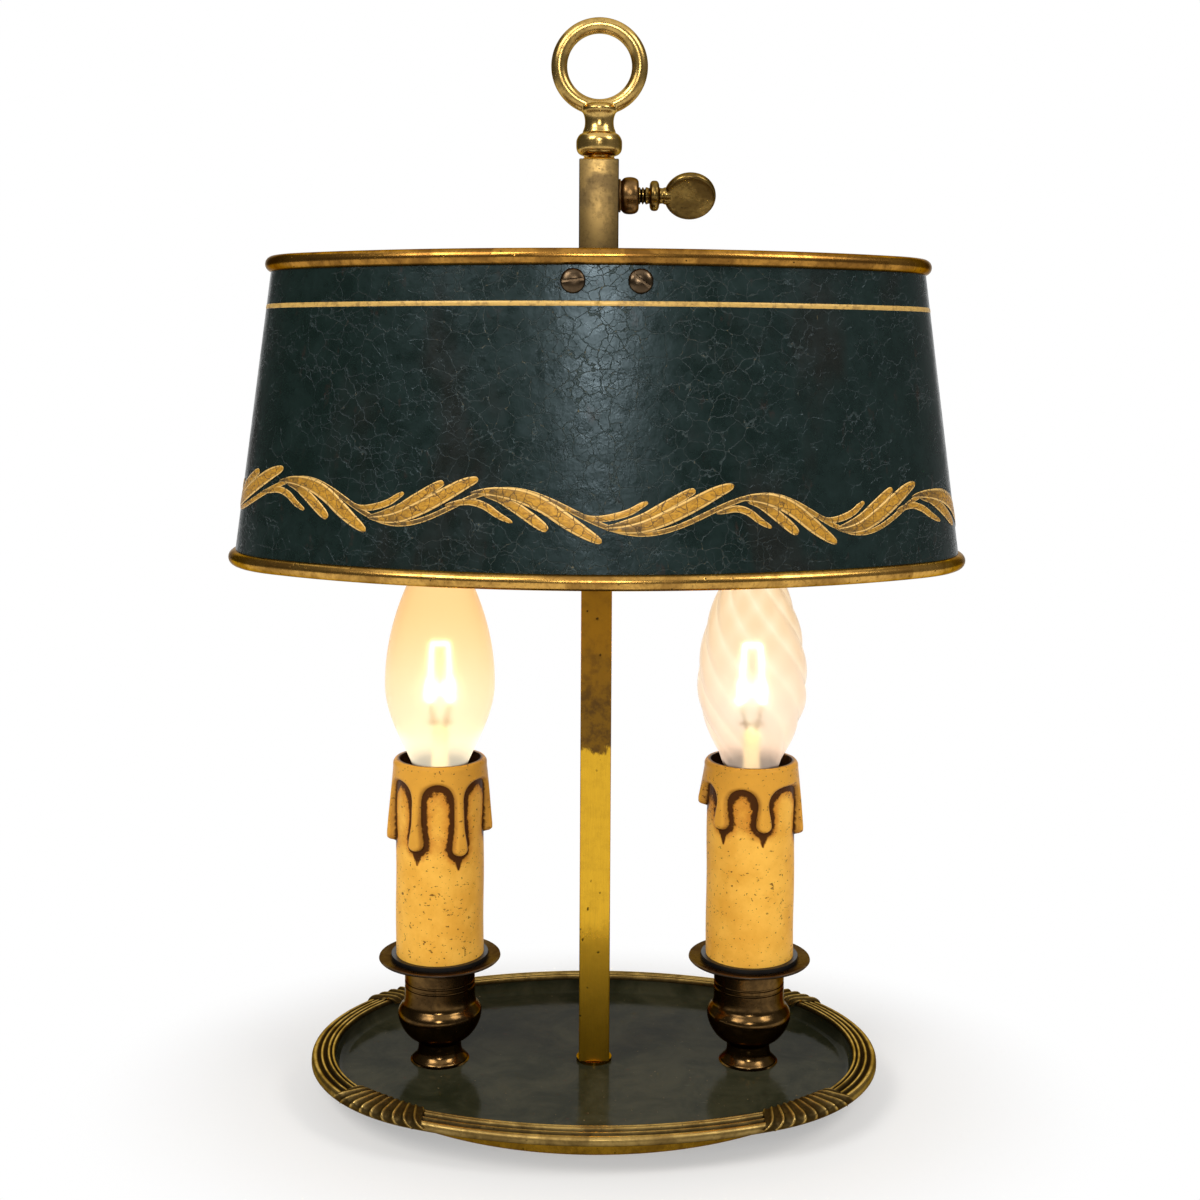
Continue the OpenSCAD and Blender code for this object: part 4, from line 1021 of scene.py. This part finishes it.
low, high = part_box("tray_border")
trayOval = Oval(high.x / mm, high.y / mm, 5, 12, 13)
tray = {
    "floor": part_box("stem_collar")[0].z / mm,
    # (offset, height over the floor) from the flat floor up the inside of the wall
    "edge": [(-11.0, 0.0), (-10.4, 0.02)],
    "wall": [(-9.7, 0.12), (-8.6, 0.8), (-7.75, 2.1), (-7.5, 3.3), (-7.5, 4.0)],
    "under": [(-6.3, 4.0), (-6.3, 2.0), (-7.0, 0.6), (-9.6, -1.0), (-11.0, -1.2)],
}


# The floor and the wall in one pressed sheet, closed above and below
def pressedTray():
    outline = tray["edge"] + smoothLine(tray["wall"], 4) + tray["under"]
    section = [(a, tray["floor"] + b) for a, b in outline]
    piece = swept("pressed_tray", trayOval, section, 360, close=False)
    startEdit()
    for level in (section[0][1], section[-1][1]):
        selectOpen(piece, level)
        bpy.ops.mesh.edge_face_add()
    endEdit()
    outward(piece)
    return piece


wear(pressedTray(), trayPaint(), "lamp_base", "tray_paint", "tray")

# (offset, height over the tray's floor, groove) round the border, from the foot of its outer face. The groove
# value is dirt in the hollows and on the outer face, and painted shade on the sides of the reeds, so that
# only the crests stay bright.
borderReeds = [
    (-0.2, 2.42, 0.9), (0.0, 2.7, 0.75), (0.0, 3.4, 0.55), (-0.06, 4.0, 0.6), (-0.25, 4.42, 0.55),
    (-0.65, 4.76, 0.3), (-1.1, 4.93, 0), (-1.45, 4.93, 0.3), (-1.75, 4.84, 0.9), (-2.05, 4.62, 1),
    (-2.25, 4.46, 1), (-2.45, 4.5, 1), (-2.65, 4.8, 1), (-2.95, 5.1, 0.85), (-3.2, 5.2, 0), (-3.4, 5.2, 0),
    (-3.7, 5.08, 0.85), (-4.0, 4.8, 1), (-4.25, 4.55, 1), (-4.5, 4.5, 1), (-4.68, 4.72, 1), (-4.9, 5.2, 0.9),
    (-5.15, 5.5, 0.5), (-5.35, 5.59, 0), (-5.55, 5.56, 0), (-5.8, 5.4, 0.8), (-6.0, 5.1, 1), (-6.2, 4.96, 1),
    (-6.36, 5.2, 1), (-6.55, 5.4, 0.4), (-6.75, 5.46, 0), (-6.95, 5.44, 0.1), (-7.2, 5.28, 0.7),
    (-7.4, 4.9, 0.9), (-7.5, 4.4, 0.9), (-7.5, 4.05, 1), (-6.25, 4.05, 0), (-6.25, 2.42, 0),
]


def reededBorder():
    section = [(a, tray["floor"] + b) for a, b, _ in borderReeds]
    return swept("reeded_border", trayOval, section, 360, marks=[mark for _, _, mark in borderReeds])


wear(reededBorder(), brass["border"], "lamp_base", "border_brass", "tray_border")

clasp = {
    "turn": 55.0,
    "outerLength": 37.0,
    "innerLength": 25.0,
    "ridges": 9,
    "ridgeHeight": 0.6,
    "ridgeHalf": 0.26,
    "crestHighlightHalf": 0.15,
    "fan": 0.35,
    "swell": 1.6,
    "endDrop": 0.25,
    "endShare": 0.03,
    "bulge": 1.3,
    "thick": 0.5,
    # (offset, height over the tray's floor) across the clasp, from its outer edge
    "across": [(0.25, 3.0), (0.55, 3.6), (0.6, 4.4), (0.1, 5.1), (-1.2, 5.55), (-3.2, 5.8), (-5.4, 6.05),
               (-7.2, 5.95), (-8.15, 5.2), (-8.5, 4.0)],
}


# Ridges that fan out from the inner edge and sink towards it, dark but for a painted highlight line along
# each crest
def acanthusClasp(name, sideX, sideY):
    piece = begun(name, bpy.ops.mesh.primitive_grid_add, x_subdivisions=144, y_subdivisions=36, size=1)
    settle(piece)
    line = smoothLine(clasp["across"], 8)
    start = trayOval.sideLength + (math.radians(90 - clasp["turn"]) - trayOval.lean) * trayOval.endR
    grooves = []

    def move(co):
        u, v = co.x + 0.5, co.y + 0.5
        a, b = line[min(len(line) - 1, round(v * (len(line) - 1)))]
        fan = 0.5 + (u - 0.5) * (1 + clasp["fan"] * v)
        phase = (fan * (clasp["ridges"] - 1)) % 1.0
        fromCrest = min(phase, 1 - phase)
        crest = max(0, 1 - fromCrest / clasp["ridgeHalf"])
        crestHighlight = max(0, 1 - fromCrest / clasp["crestHighlightHalf"])
        valley = math.sin(math.pi * phase) ** 2
        fade = math.cos(math.pi / 2 * min(1, max(0, v))) ** 0.45
        end = min(1, min(u, 1 - u) / clasp["endShare"])
        rise = clasp["ridgeHeight"] * (crest - 0.6 * valley) * fade + clasp["endDrop"] * (end - 1)
        # All but a thin line along each crest is stored as groove and darkened: painted highlight lines
        grooves.append(0.95 * (1 - crestHighlight) * min(1, 2 * fade))
        a -= clasp["bulge"] * math.sin(math.pi * u) * v ** 2
        length = clasp["outerLength"] + (clasp["innerLength"] - clasp["outerLength"]) * v
        run = start + (u - 0.5) * (length + clasp["swell"] * math.sin(math.pi * v))
        offset = a + rise * (0.75 - 1.1 * v)
        x, y = trayOval.at(run, offset)
        return Vector((x * sideX * mm, y * sideY * mm, (tray["floor"] + b + rise * 0.8) * mm))

    placed(piece, move)
    store(piece, "groove", grooves)
    applied(piece, "SOLIDIFY", thickness=clasp["thick"] * mm, offset=-1 if sideX * sideY > 0 else 1)
    outward(piece, 50)
    return piece


leaves = [acanthusClasp(f"acanthus_clasp_{i}", *turn) for i, turn in
          enumerate([(1, 1), (-1, 1), (1, -1), (-1, -1)])]
wear(joined("acanthus_clasps", leaves), brass["border"], "lamp_base", "clasp_brass", "border_clasps")

dress(brass["foot"], "foot_ring")
dress(plainFinish["steel"], "base_plate", "stem_stud", "stem_washer", "stem_nut")
dress(plainFinish["baize"], "baize_pad")
dress(plainFinish["rubber"], "cord_bush")
dress(brass["plain"], "tube_locknuts", "holder_nuts")
dress(plainFinish["nylon"], "terminal_block")
print("tray")

low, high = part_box("stem")
wear(beveledBar("square_stem", low, high, 0.45), stemBrass(), "lamp_base", "stem_brass", "stem")
dress(brass["foot"], "stem_collar")


slider = {"bevel": 0.35, "wall": 0.8}


# A bar opened from end to end
def squareTube():
    tube = beveledBar("square_slider", *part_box("slider_sleeve"), slider["bevel"])
    startEdit("DESELECT")
    form = bmesh.from_edit_mesh(tube.data)
    for face in form.faces:
        if abs(face.normal.z) > 0.99 and face.calc_area() > 1e-5:
            face.select = True
    bmesh.update_edit_mesh(tube.data)
    bpy.ops.mesh.inset(thickness=slider["wall"] * mm)
    bpy.ops.mesh.bridge_edge_loops()
    endEdit()
    outward(tube)
    return tube


wear(squareTube(), brass["slider"], "shade_slider", "slider_brass", "slider_sleeve")

low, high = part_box("finial")
finial = {
    "seat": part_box("stem")[1].z / mm,
    "ring": high.z / mm - (high.x - low.x) / 2 / mm,
    "bar": 5.1,
    "outer": (high.x - low.x) / 2 / mm,
    "pin": [(2.5, -9.0), (2.5, 0.0)],
    "neck": [(4.7, 0.0), (4.75, 0.5), (4.6, 0.9), (5.6, 1.05), (6.6, 1.7), (7.15, 2.8), (7.25, 4.4),
             (7.15, 5.8), (6.5, 7.1), (5.9, 7.65), (5.3, 7.9), (5.15, 8.6), (4.75, 9.6), (4.55, 10.9),
             (4.6, 12.4), (4.95, 13.8), (5.5, 14.9), (5.4, 15.9), (4.4, 16.8), (2.0, 17.2)],
    "blend": 0.28,
}


# Ring, bead and neck melted into one casting
def ringFinial():
    half = finial["bar"] / 2
    ring = begun("finial_ring", bpy.ops.mesh.primitive_torus_add, major_radius=(finial["outer"] - half) * mm,
                 minor_radius=half * mm, major_segments=96, minor_segments=32,
                 location=(0, 0, finial["ring"] * mm), rotation=(math.pi / 2, 0, 0))
    settle(ring)
    outline = finial["pin"] + smoothLine(finial["neck"], 3)
    neck = turned("finial_neck", [(a, finial["seat"] + b) for a, b in outline], around=64)
    piece = joined("ring_finial", [ring, neck])
    applied(piece, "REMESH", mode="VOXEL", voxel_size=finial["blend"] * mm)
    applied(piece, "SMOOTH", factor=0.5, iterations=3)
    bpy.ops.object.shade_smooth()
    return piece


wear(ringFinial(), brass["finial"], "lamp_base", "finial_brass", "finial")

low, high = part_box("thumbscrew")
bossLow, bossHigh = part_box("screw_boss")
screw = {
    "height": (bossLow.z + bossHigh.z) / 2 / mm,
    "face": bossLow.x / mm,
    "tip": low.x / mm,
    "end": high.x / mm,
    "turn": 36.0,
    "bore": 2.75,
    "pitch": 1.05,
    "root": 1.95,
    "crest": 2.7,
    "crestFrom": 0.4,
    "crestTo": 0.6,
    # Lengths back from the far end of the head
    "threadEnd": 21.6,
    "collarAt": 20.9,
    "headAt": 8.15,
    "boss": [(5.0, 0.0), (5.2, 0.1), (5.2, 0.6), (4.6, 0.75), (4.8, 0.95), (5.5, 1.7), (5.8, 2.8), (5.8, 4.3),
             (5.4, 5.6), (4.5, 6.3), (2.9, 6.4)],
    "collar": [(2.4, 0.0), (3.6, 0.05), (4.5, 0.5), (4.78, 1.4), (4.6, 2.4), (3.7, 2.95), (2.9, 3.05),
               (2.5, 3.4), (2.45, 4.2), (2.7, 4.9), (2.6, 6.5)],
    "disc": [(0.5, -1.62), (5.0, -1.65), (6.9, -1.62), (7.7, -1.35), (8.1, -0.7), (8.15, 0.0), (8.1, 0.7),
             (7.7, 1.35), (6.9, 1.62), (5.0, 1.65), (0.5, 1.62)],
}


def turnedBoss():
    outline = [(screw["bore"], 0.0)] + smoothLine(screw["boss"], 3) + [(screw["bore"], 6.3)]
    piece = turned("turned_boss", [(a, screw["face"] + b) for a, b in outline], around=64, close=True)
    startEdit()
    selectOpen(piece)
    bpy.ops.mesh.bridge_edge_loops()
    endEdit()
    outward(piece)
    piece.rotation_euler = (0, math.pi / 2, 0)
    piece.location = (0, 0, screw["height"] * mm)
    settle(piece)
    return piece


wear(turnedBoss(), brass["boss"], "shade_slider", "boss_brass", "screw_boss")


# Ridged shank, collar and a flat round head that stands on its edge
def thumbScrew():
    tip, end = screw["tip"], screw["end"]
    thread = []
    level = tip
    while level < end - screw["threadEnd"]:
        thread += [(screw["root"], level), (screw["crest"], level + screw["crestFrom"]),
                   (screw["crest"], level + screw["crestTo"])]
        level += screw["pitch"]
    collar = [(a, end - screw["collarAt"] + b) for a, b in smoothLine(screw["collar"], 3)]
    shank = turned("thumb_screw", thread + collar, around=48)
    shank.rotation_euler = (0, math.pi / 2, 0)
    settle(shank)
    disc = turned("disc", smoothLine(screw["disc"], 2))
    disc.rotation_euler = (math.radians(90 + screw["turn"]), 0, 0)
    disc.location = ((end - screw["headAt"]) * mm, 0, 0)
    settle(disc)
    applied(shank, "BOOLEAN", operation="UNION", object=disc, solver="EXACT")
    bpy.data.objects.remove(disc)

    # Dirt between the ridges of the thread
    def dirt(co):
        if co.x / mm > end - screw["threadEnd"] + screw["crestFrom"]:
            return 0.0
        return max(0, 1 - (math.hypot(co.y, co.z) / mm - 1.9) / 0.7)

    store(shank, "groove", [dirt(v.co) for v in shank.data.vertices])
    outward(shank, 30)
    shank.location = (0, 0, screw["height"] * mm)
    settle(shank)
    return shank


wear(thumbScrew(), brass["thumb"], "thumbscrew", "screw_bronze", "thumbscrew")
dress(brass["plain"], "pressure_pad")
print("stem and slider")

# (radius, height over the tray's floor)
cup = {
    "profile": [(0.0, 0.0), (8.8, 0.0), (9.0, 0.35), (8.9, 0.8), (8.2, 1.5), (7.35, 2.6), (6.98, 4.0),
                (6.95, 5.6), (7.4, 6.7), (8.7, 7.6), (10.2, 8.7), (11.8, 10.7), (12.9, 12.9), (13.45, 15.0),
                (13.35, 16.7), (12.6, 18.0), (11.85, 18.9), (11.5, 20.0), (11.32, 21.6), (11.3, 24.4)],
    "grooves": [24.5, 26.2],
    "groove": [(11.3, 0.0), (11.0, 0.2), (10.95, 0.4), (11.0, 0.6), (11.3, 0.8)],
    "top": [(11.3, 30.0), (11.45, 32.0), (11.9, 33.0), (12.4, 33.4), (0.0, 33.4)],
    "pan": [(0.0, 0.0), (15.0, 0.0), (17.2, 0.02), (18.6, 0.08), (19.3, 0.25), (19.6, 0.6), (19.5, 0.95),
            (19.1, 1.1), (18.6, 0.98), (17.4, 0.82), (16.4, 0.8), (15.9, 0.72), (15.75, 0.5), (0.0, 0.5)],
}

for side in sides:
    low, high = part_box("candle_cup_" + side)
    x = (low.x + high.x) / 2 / mm
    grooves = [(a, start + b) for start in cup["grooves"] for a, b in cup["groove"]]
    rings = smoothLine(cup["profile"], 3) + grooves + cup["top"]
    piece = turned("turned_cup_" + side, [(a, tray["floor"] + b) for a, b in rings], x)
    wear(piece, brass["cups"], "lamp_base", "cup_bronze", "candle_cup_" + side)
    piece = turned("turned_pan_" + side, [(a, high.z / mm + b) for a, b in cup["pan"]], x)
    wear(piece, brass["pans"], "lamp_base", "cup_bronze", "drip_pan_" + side)
    dress(plainFinish["enamel"], "candle_base_" + side)
    dress(brass["plain"], "threaded_tube_" + side, "screw_shell_" + side, "contact_spring_" + side)
    dress(plainFinish["steel"], "holder_bracket_" + side)
    dress(plainFinish["phenolic"], "lampholder_" + side)
    dress(plainFinish["jacket"], "lead_wires_" + side)
print("candle cups")

# Drips are (degrees from +X, length down from the candle's top).
wax = {
    "radius": 14.1,
    "bore": 13.2,
    "melt": 6.5,
    "skin": 0.95,
    "dripOut": 2.85,
    "edge": 1.3,
    "dripHalf": 1.5,
    "dripEnd": 2.3,
    # Lengths up from a drip's end where it starts and stops swelling
    "swellFrom": 10,
    "swellTo": 2,
    # Depths under the top, and up from a drip's end, between which the wax comes to stand out
    "leanFrom": 2.5,
    "leanTo": 2.5,
    "lip": 1.5,
    "lipIn": 0.8,
    "uneven": 0.08,
    "glazeRun": 5.0,
    "glazeHalf": 2.4,
    "glazeTip": 0.4,
    "around": 320,
    "levels": 156,
    "fineLevels": 118,
    "fineStep": 0.28,
    "band": {"left": 5.4, "right": 6.4},
    "left": [(187, 26.4), (245, 26.9), (300, 28.5), (3, 24.1), (62, 24), (121, 19)],
    "right": [(177, 15.1), (227, 20), (281, 20.1), (352, 23.7), (48, 16), (110, 25)],
}


def dripAcross(angle, at):
    return math.radians((angle - at + 180) % 360 - 180) * wax["radius"]


# Distance outside the edge of the molten wax, negative on the wax
def waxGap(angle, depth, drips, band):
    gap = depth - band
    for at, length in drips:
        share = min(1, max(0, depth - length + wax["swellFrom"]) / (wax["swellFrom"] - wax["swellTo"]))
        half = wax["dripHalf"] + (wax["dripEnd"] - wax["dripHalf"]) * share * share * (3 - 2 * share)
        below = max(0, depth - (length - half))
        drip = math.hypot(dripAcross(angle, at), below) - half
        join = max(wax["melt"] - abs(gap - drip), 0) / wax["melt"]
        gap = min(gap, drip) - join * join * wax["melt"] / 4
    return gap


# The wax stands out farther down a drip.
def waxSkin(angle, depth, drips, gap):
    inside = max(0, min(1, -gap / wax["edge"]))
    _, length = min((abs(dripAcross(angle, at)), length) for at, length in drips)
    fall = max(0, min(1, (depth - wax["leanFrom"]) / (length - wax["leanFrom"] - wax["leanTo"])))
    return (wax["skin"] + (wax["dripOut"] - wax["skin"]) * fall) * math.sqrt(1 - (1 - inside) ** 2)


# The dark run of glaze under each drip, 1 at its middle
def glazeStreak(angle, depth, drips):
    best = 0.0
    for at, length in drips:
        fall = (depth - length) / wax["glazeRun"]
        if -0.4 < fall < 1:
            width = wax["glazeHalf"] * (1 - max(0, fall)) + wax["glazeTip"]
            best = max(best, 1 - (dripAcross(angle, at) / width) ** 2 * 0.6 - max(0, fall) * 0.35)
    return max(0.0, best)


# A tube with many levels, finely spaced down to the ends of the drips and moved out where wax has run
def meltedSleeve(name, x, low, high, drips, band):
    levels, fine, step = wax["levels"], wax["fineLevels"], wax["fineStep"]
    piece = begun(name, bpy.ops.mesh.primitive_cylinder_add, vertices=wax["around"],
                  radius=wax["radius"] * mm, depth=1, end_fill_type="NOTHING")
    startEdit("DESELECT")
    form = bmesh.from_edit_mesh(piece.data)
    upright = [e for e in form.edges if abs(e.verts[0].co.z - e.verts[1].co.z) > 0.5]
    bmesh.ops.subdivide_edges(form, edges=upright, cuts=levels - 1, use_grid_fill=False)
    bmesh.update_edit_mesh(piece.data)
    endEdit()
    gaps, streaks = [], []
    coarseStep = (high - low - fine * step) / (levels - fine)

    def move(co):
        row = round((0.5 - co.z) * levels)
        depth = min(row, fine) * step + max(0, row - fine) * coarseStep
        angle = math.degrees(math.atan2(co.y, co.x)) % 360
        gap = waxGap(angle, depth, drips, band)
        lip = max(0, 1 - depth / wax["lip"])
        radius = wax["radius"] + waxSkin(angle, depth, drips, gap) - wax["lipIn"] * lip ** 2
        radius += wax["uneven"] * math.sin(math.radians(angle) * 3 + depth * 0.21)
        gaps.append(max(-2.0, min(8.0, gap)))
        streaks.append(glazeStreak(angle, depth, drips))
        turn = math.radians(angle)
        return Vector(((x + radius * math.cos(turn)) * mm, radius * math.sin(turn) * mm, (high - depth) * mm))

    placed(piece, move)
    store(piece, "gap", gaps)
    store(piece, "streak", streaks)
    store(piece, "bore", [0.0] * len(gaps))
    settle(piece)
    startEdit()
    selectOpen(piece, high)
    bpy.ops.mesh.extrude_region_move()
    ratio = wax["bore"] / (wax["radius"] + 0.3)
    bpy.ops.transform.resize(value=(ratio, ratio, 1), center_override=(x * mm, 0, high * mm))
    form = bmesh.from_edit_mesh(piece.data)
    # The inner wall is marked for the painted shade inside the tube
    layer = form.verts.layers.float["bore"]
    for v in form.verts:
        if v.select:
            v[layer] = 1.0
    bmesh.update_edit_mesh(piece.data)
    bpy.ops.mesh.extrude_region_move(TRANSFORM_OT_translate={"value": (0, 0, (low - high) * mm)})
    selectOpen(piece, low)
    bpy.ops.mesh.bridge_edge_loops()
    endEdit()
    outward(piece, 60)
    return piece


for side in sides:
    low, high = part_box("candle_sleeve_" + side)
    cupLow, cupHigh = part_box("candle_cup_" + side)
    x = (cupLow.x + cupHigh.x) / 2 / mm
    sleeve = meltedSleeve("melted_sleeve_" + side, x, low.z / mm, high.z / mm, wax[side], wax["band"][side])
    wear(sleeve, waxFinish, "lamp_base", "candle_wax", "candle_sleeve_" + side)
print("candle sleeves")

# Heights count from the tip of the bulb's cap.
bulb = {
    "neckLow": 16.8,
    "neckTop": 20.3,
    "neck": 7.0,
    "widest": 53.3,
    "length": 100.0,
    "half": 17.55,
    "wall": 0.6,
    "flutes": 9,
    "fluteDepth": 1.2,
    "lobe": 0.95,
    "fluteStart": 14,
    "fluteEnd": 8,
    "twist": 125.0,
    "twistOver": 40,
}


# A narrow neck that swells to the widest level and closes to a point
def bulbRadius(height):
    if height < bulb["neckTop"]:
        return bulb["neck"]
    if height < bulb["widest"]:
        share = (height - bulb["neckTop"]) / (bulb["widest"] - bulb["neckTop"])
        return bulb["neck"] + (bulb["half"] - bulb["neck"]) * math.sin(math.pi / 2 * share) ** 1.5
    share = (height - bulb["widest"]) / (bulb["length"] - bulb["widest"])
    return bulb["half"] * max(0, math.cos(math.pi / 2 * share)) ** 0.7


def blownBulb(name, x, tip, twisted):
    rise = bulb["length"] - bulb["neckTop"]
    levels = [bulb["neckLow"], bulb["neckTop"] - 0.6]
    levels += [bulb["neckTop"] + rise * math.sin(math.pi / 2 * i / 72) for i in range(73)]
    rings = [(max(0.02, bulbRadius(level)), tip + level) for level in levels]
    piece = turned(name, rings, x, around=180, close=True)
    ribs = []

    # Twisted flutes: broad round lobes between narrow grooves, which "fluteHighlight" stores for painted
    # highlight bands along them
    def flute(co):
        height = co.z / mm - tip
        dx, dy = co.x / mm - x, co.y / mm
        radius, turn = math.hypot(dx, dy), math.atan2(dy, dx)
        share = max(0, min(1, (height - bulb["neckTop"]) / bulb["fluteStart"]))
        share *= max(0, min(1, (bulb["length"] - height) / bulb["fluteEnd"]))
        phase = bulb["flutes"] * (turn + math.radians(bulb["twist"]) * height / bulb["twistOver"])
        arch = abs(math.sin(phase / 2))
        wave = arch - bulb["lobe"]
        ribs.append(share * (1 - arch) ** 1.5)
        grow = 1 + share * bulb["fluteDepth"] * wave / max(6.0, radius)
        return Vector(((x + dx * grow) * mm, dy * grow * mm, co.z))

    if twisted:
        placed(piece, flute)
        store(piece, "fluteHighlight", ribs)
    applied(piece, "SOLIDIFY", thickness=bulb["wall"] * mm, offset=-1)
    bpy.ops.object.shade_smooth()
    return piece


# Heights count from the foot of the glass mount.
lit = {
    "mount": [(0.0, 0.0), (5.0, 0.0), (4.6, 2.0), (4.0, 8.0), (3.2, 16.0), (2.5, 25.0), (2.4, 29.0),
              (2.75, 31.0), (2.5, 32.6), (1.4, 33.6), (0.0, 33.8)],
    "posts": [((-1.2, 0, 32.0), (-3.4, 0, 43.0)), ((1.2, 0, 32.0), (3.4, 0, 43.0)),
              ((-4.0, 0, 35.5), (4.0, 0, 35.5))],
    "hot": [((-3.4, 0, 42.6), (-3.2, 0, 49.0)), ((3.4, 0, 42.6), (3.2, 0, 49.0)),
            ((-3.2, 0, 46.0), (3.2, 0, 46.0))],
    "warm": [((-3.2, 0, 49.0), (-2.6, 0, 61.0)), ((3.2, 0, 49.0), (2.6, 0, 61.0)),
             ((-2.7, 0, 61.0), (2.7, 0, 61.0))],
    "post": 0.4,
    "coil": 0.6,
}


# Glass mount and two posts, both painted as glowing with the coil's light, and the glowing coil
def litFilament(side, x, base):
    mount = turned("mount", [(a, base + b) for a, b in lit["mount"]], x, around=40)
    mount.data.materials.append(glows["mount"])
    parts = [mount]
    for kind, half in (("posts", lit["post"]), ("hot", lit["coil"]), ("warm", lit["coil"])):
        for ends in lit[kind]:
            wire = rod(kind, *[(a + x, b, c + base) for a, b, c in ends], half)
            wire.data.materials.append(glows[kind])
            parts.append(wire)
    piece = joined("lit_filament_" + side, parts)
    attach(piece, "bulb_" + side)
    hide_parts("filament_" + side)


glows = {
    # The mount and posts glow as painted light from the coil; the coil's hot and warm parts are the light
    "mount": glowing("mount", (1.0, 0.86, 0.48), 0.6),
    "posts": glowing("posts", (0.20, 0.15, 0.09), 0.3),
    "hot": glowing("hot", (1.0, 0.92, 0.72), 100.0),
    "warm": glowing("warm", (1.0, 0.90, 0.60), 4.5),
}

for side in sides:
    low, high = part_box("bulb_glass_" + side)
    x = (low.x + high.x) / 2 / mm
    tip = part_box("bulb_insulator_" + side)[0].z / mm
    glass = blownBulb("blown_bulb_" + side, x, tip, side == "right")
    wear(glass, litGlass(side), "bulb_" + side, "bulb_glass", "bulb_glass_" + side)
    litFilament(side, x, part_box("filament_" + side)[0].z / mm)
    dress(plainFinish["nickel"], "bulb_cap_" + side)
    dress(plainFinish["vitrite"], "bulb_insulator_" + side)
print("bulbs")

bpy.context.scene.view_settings.view_transform = "Standard"
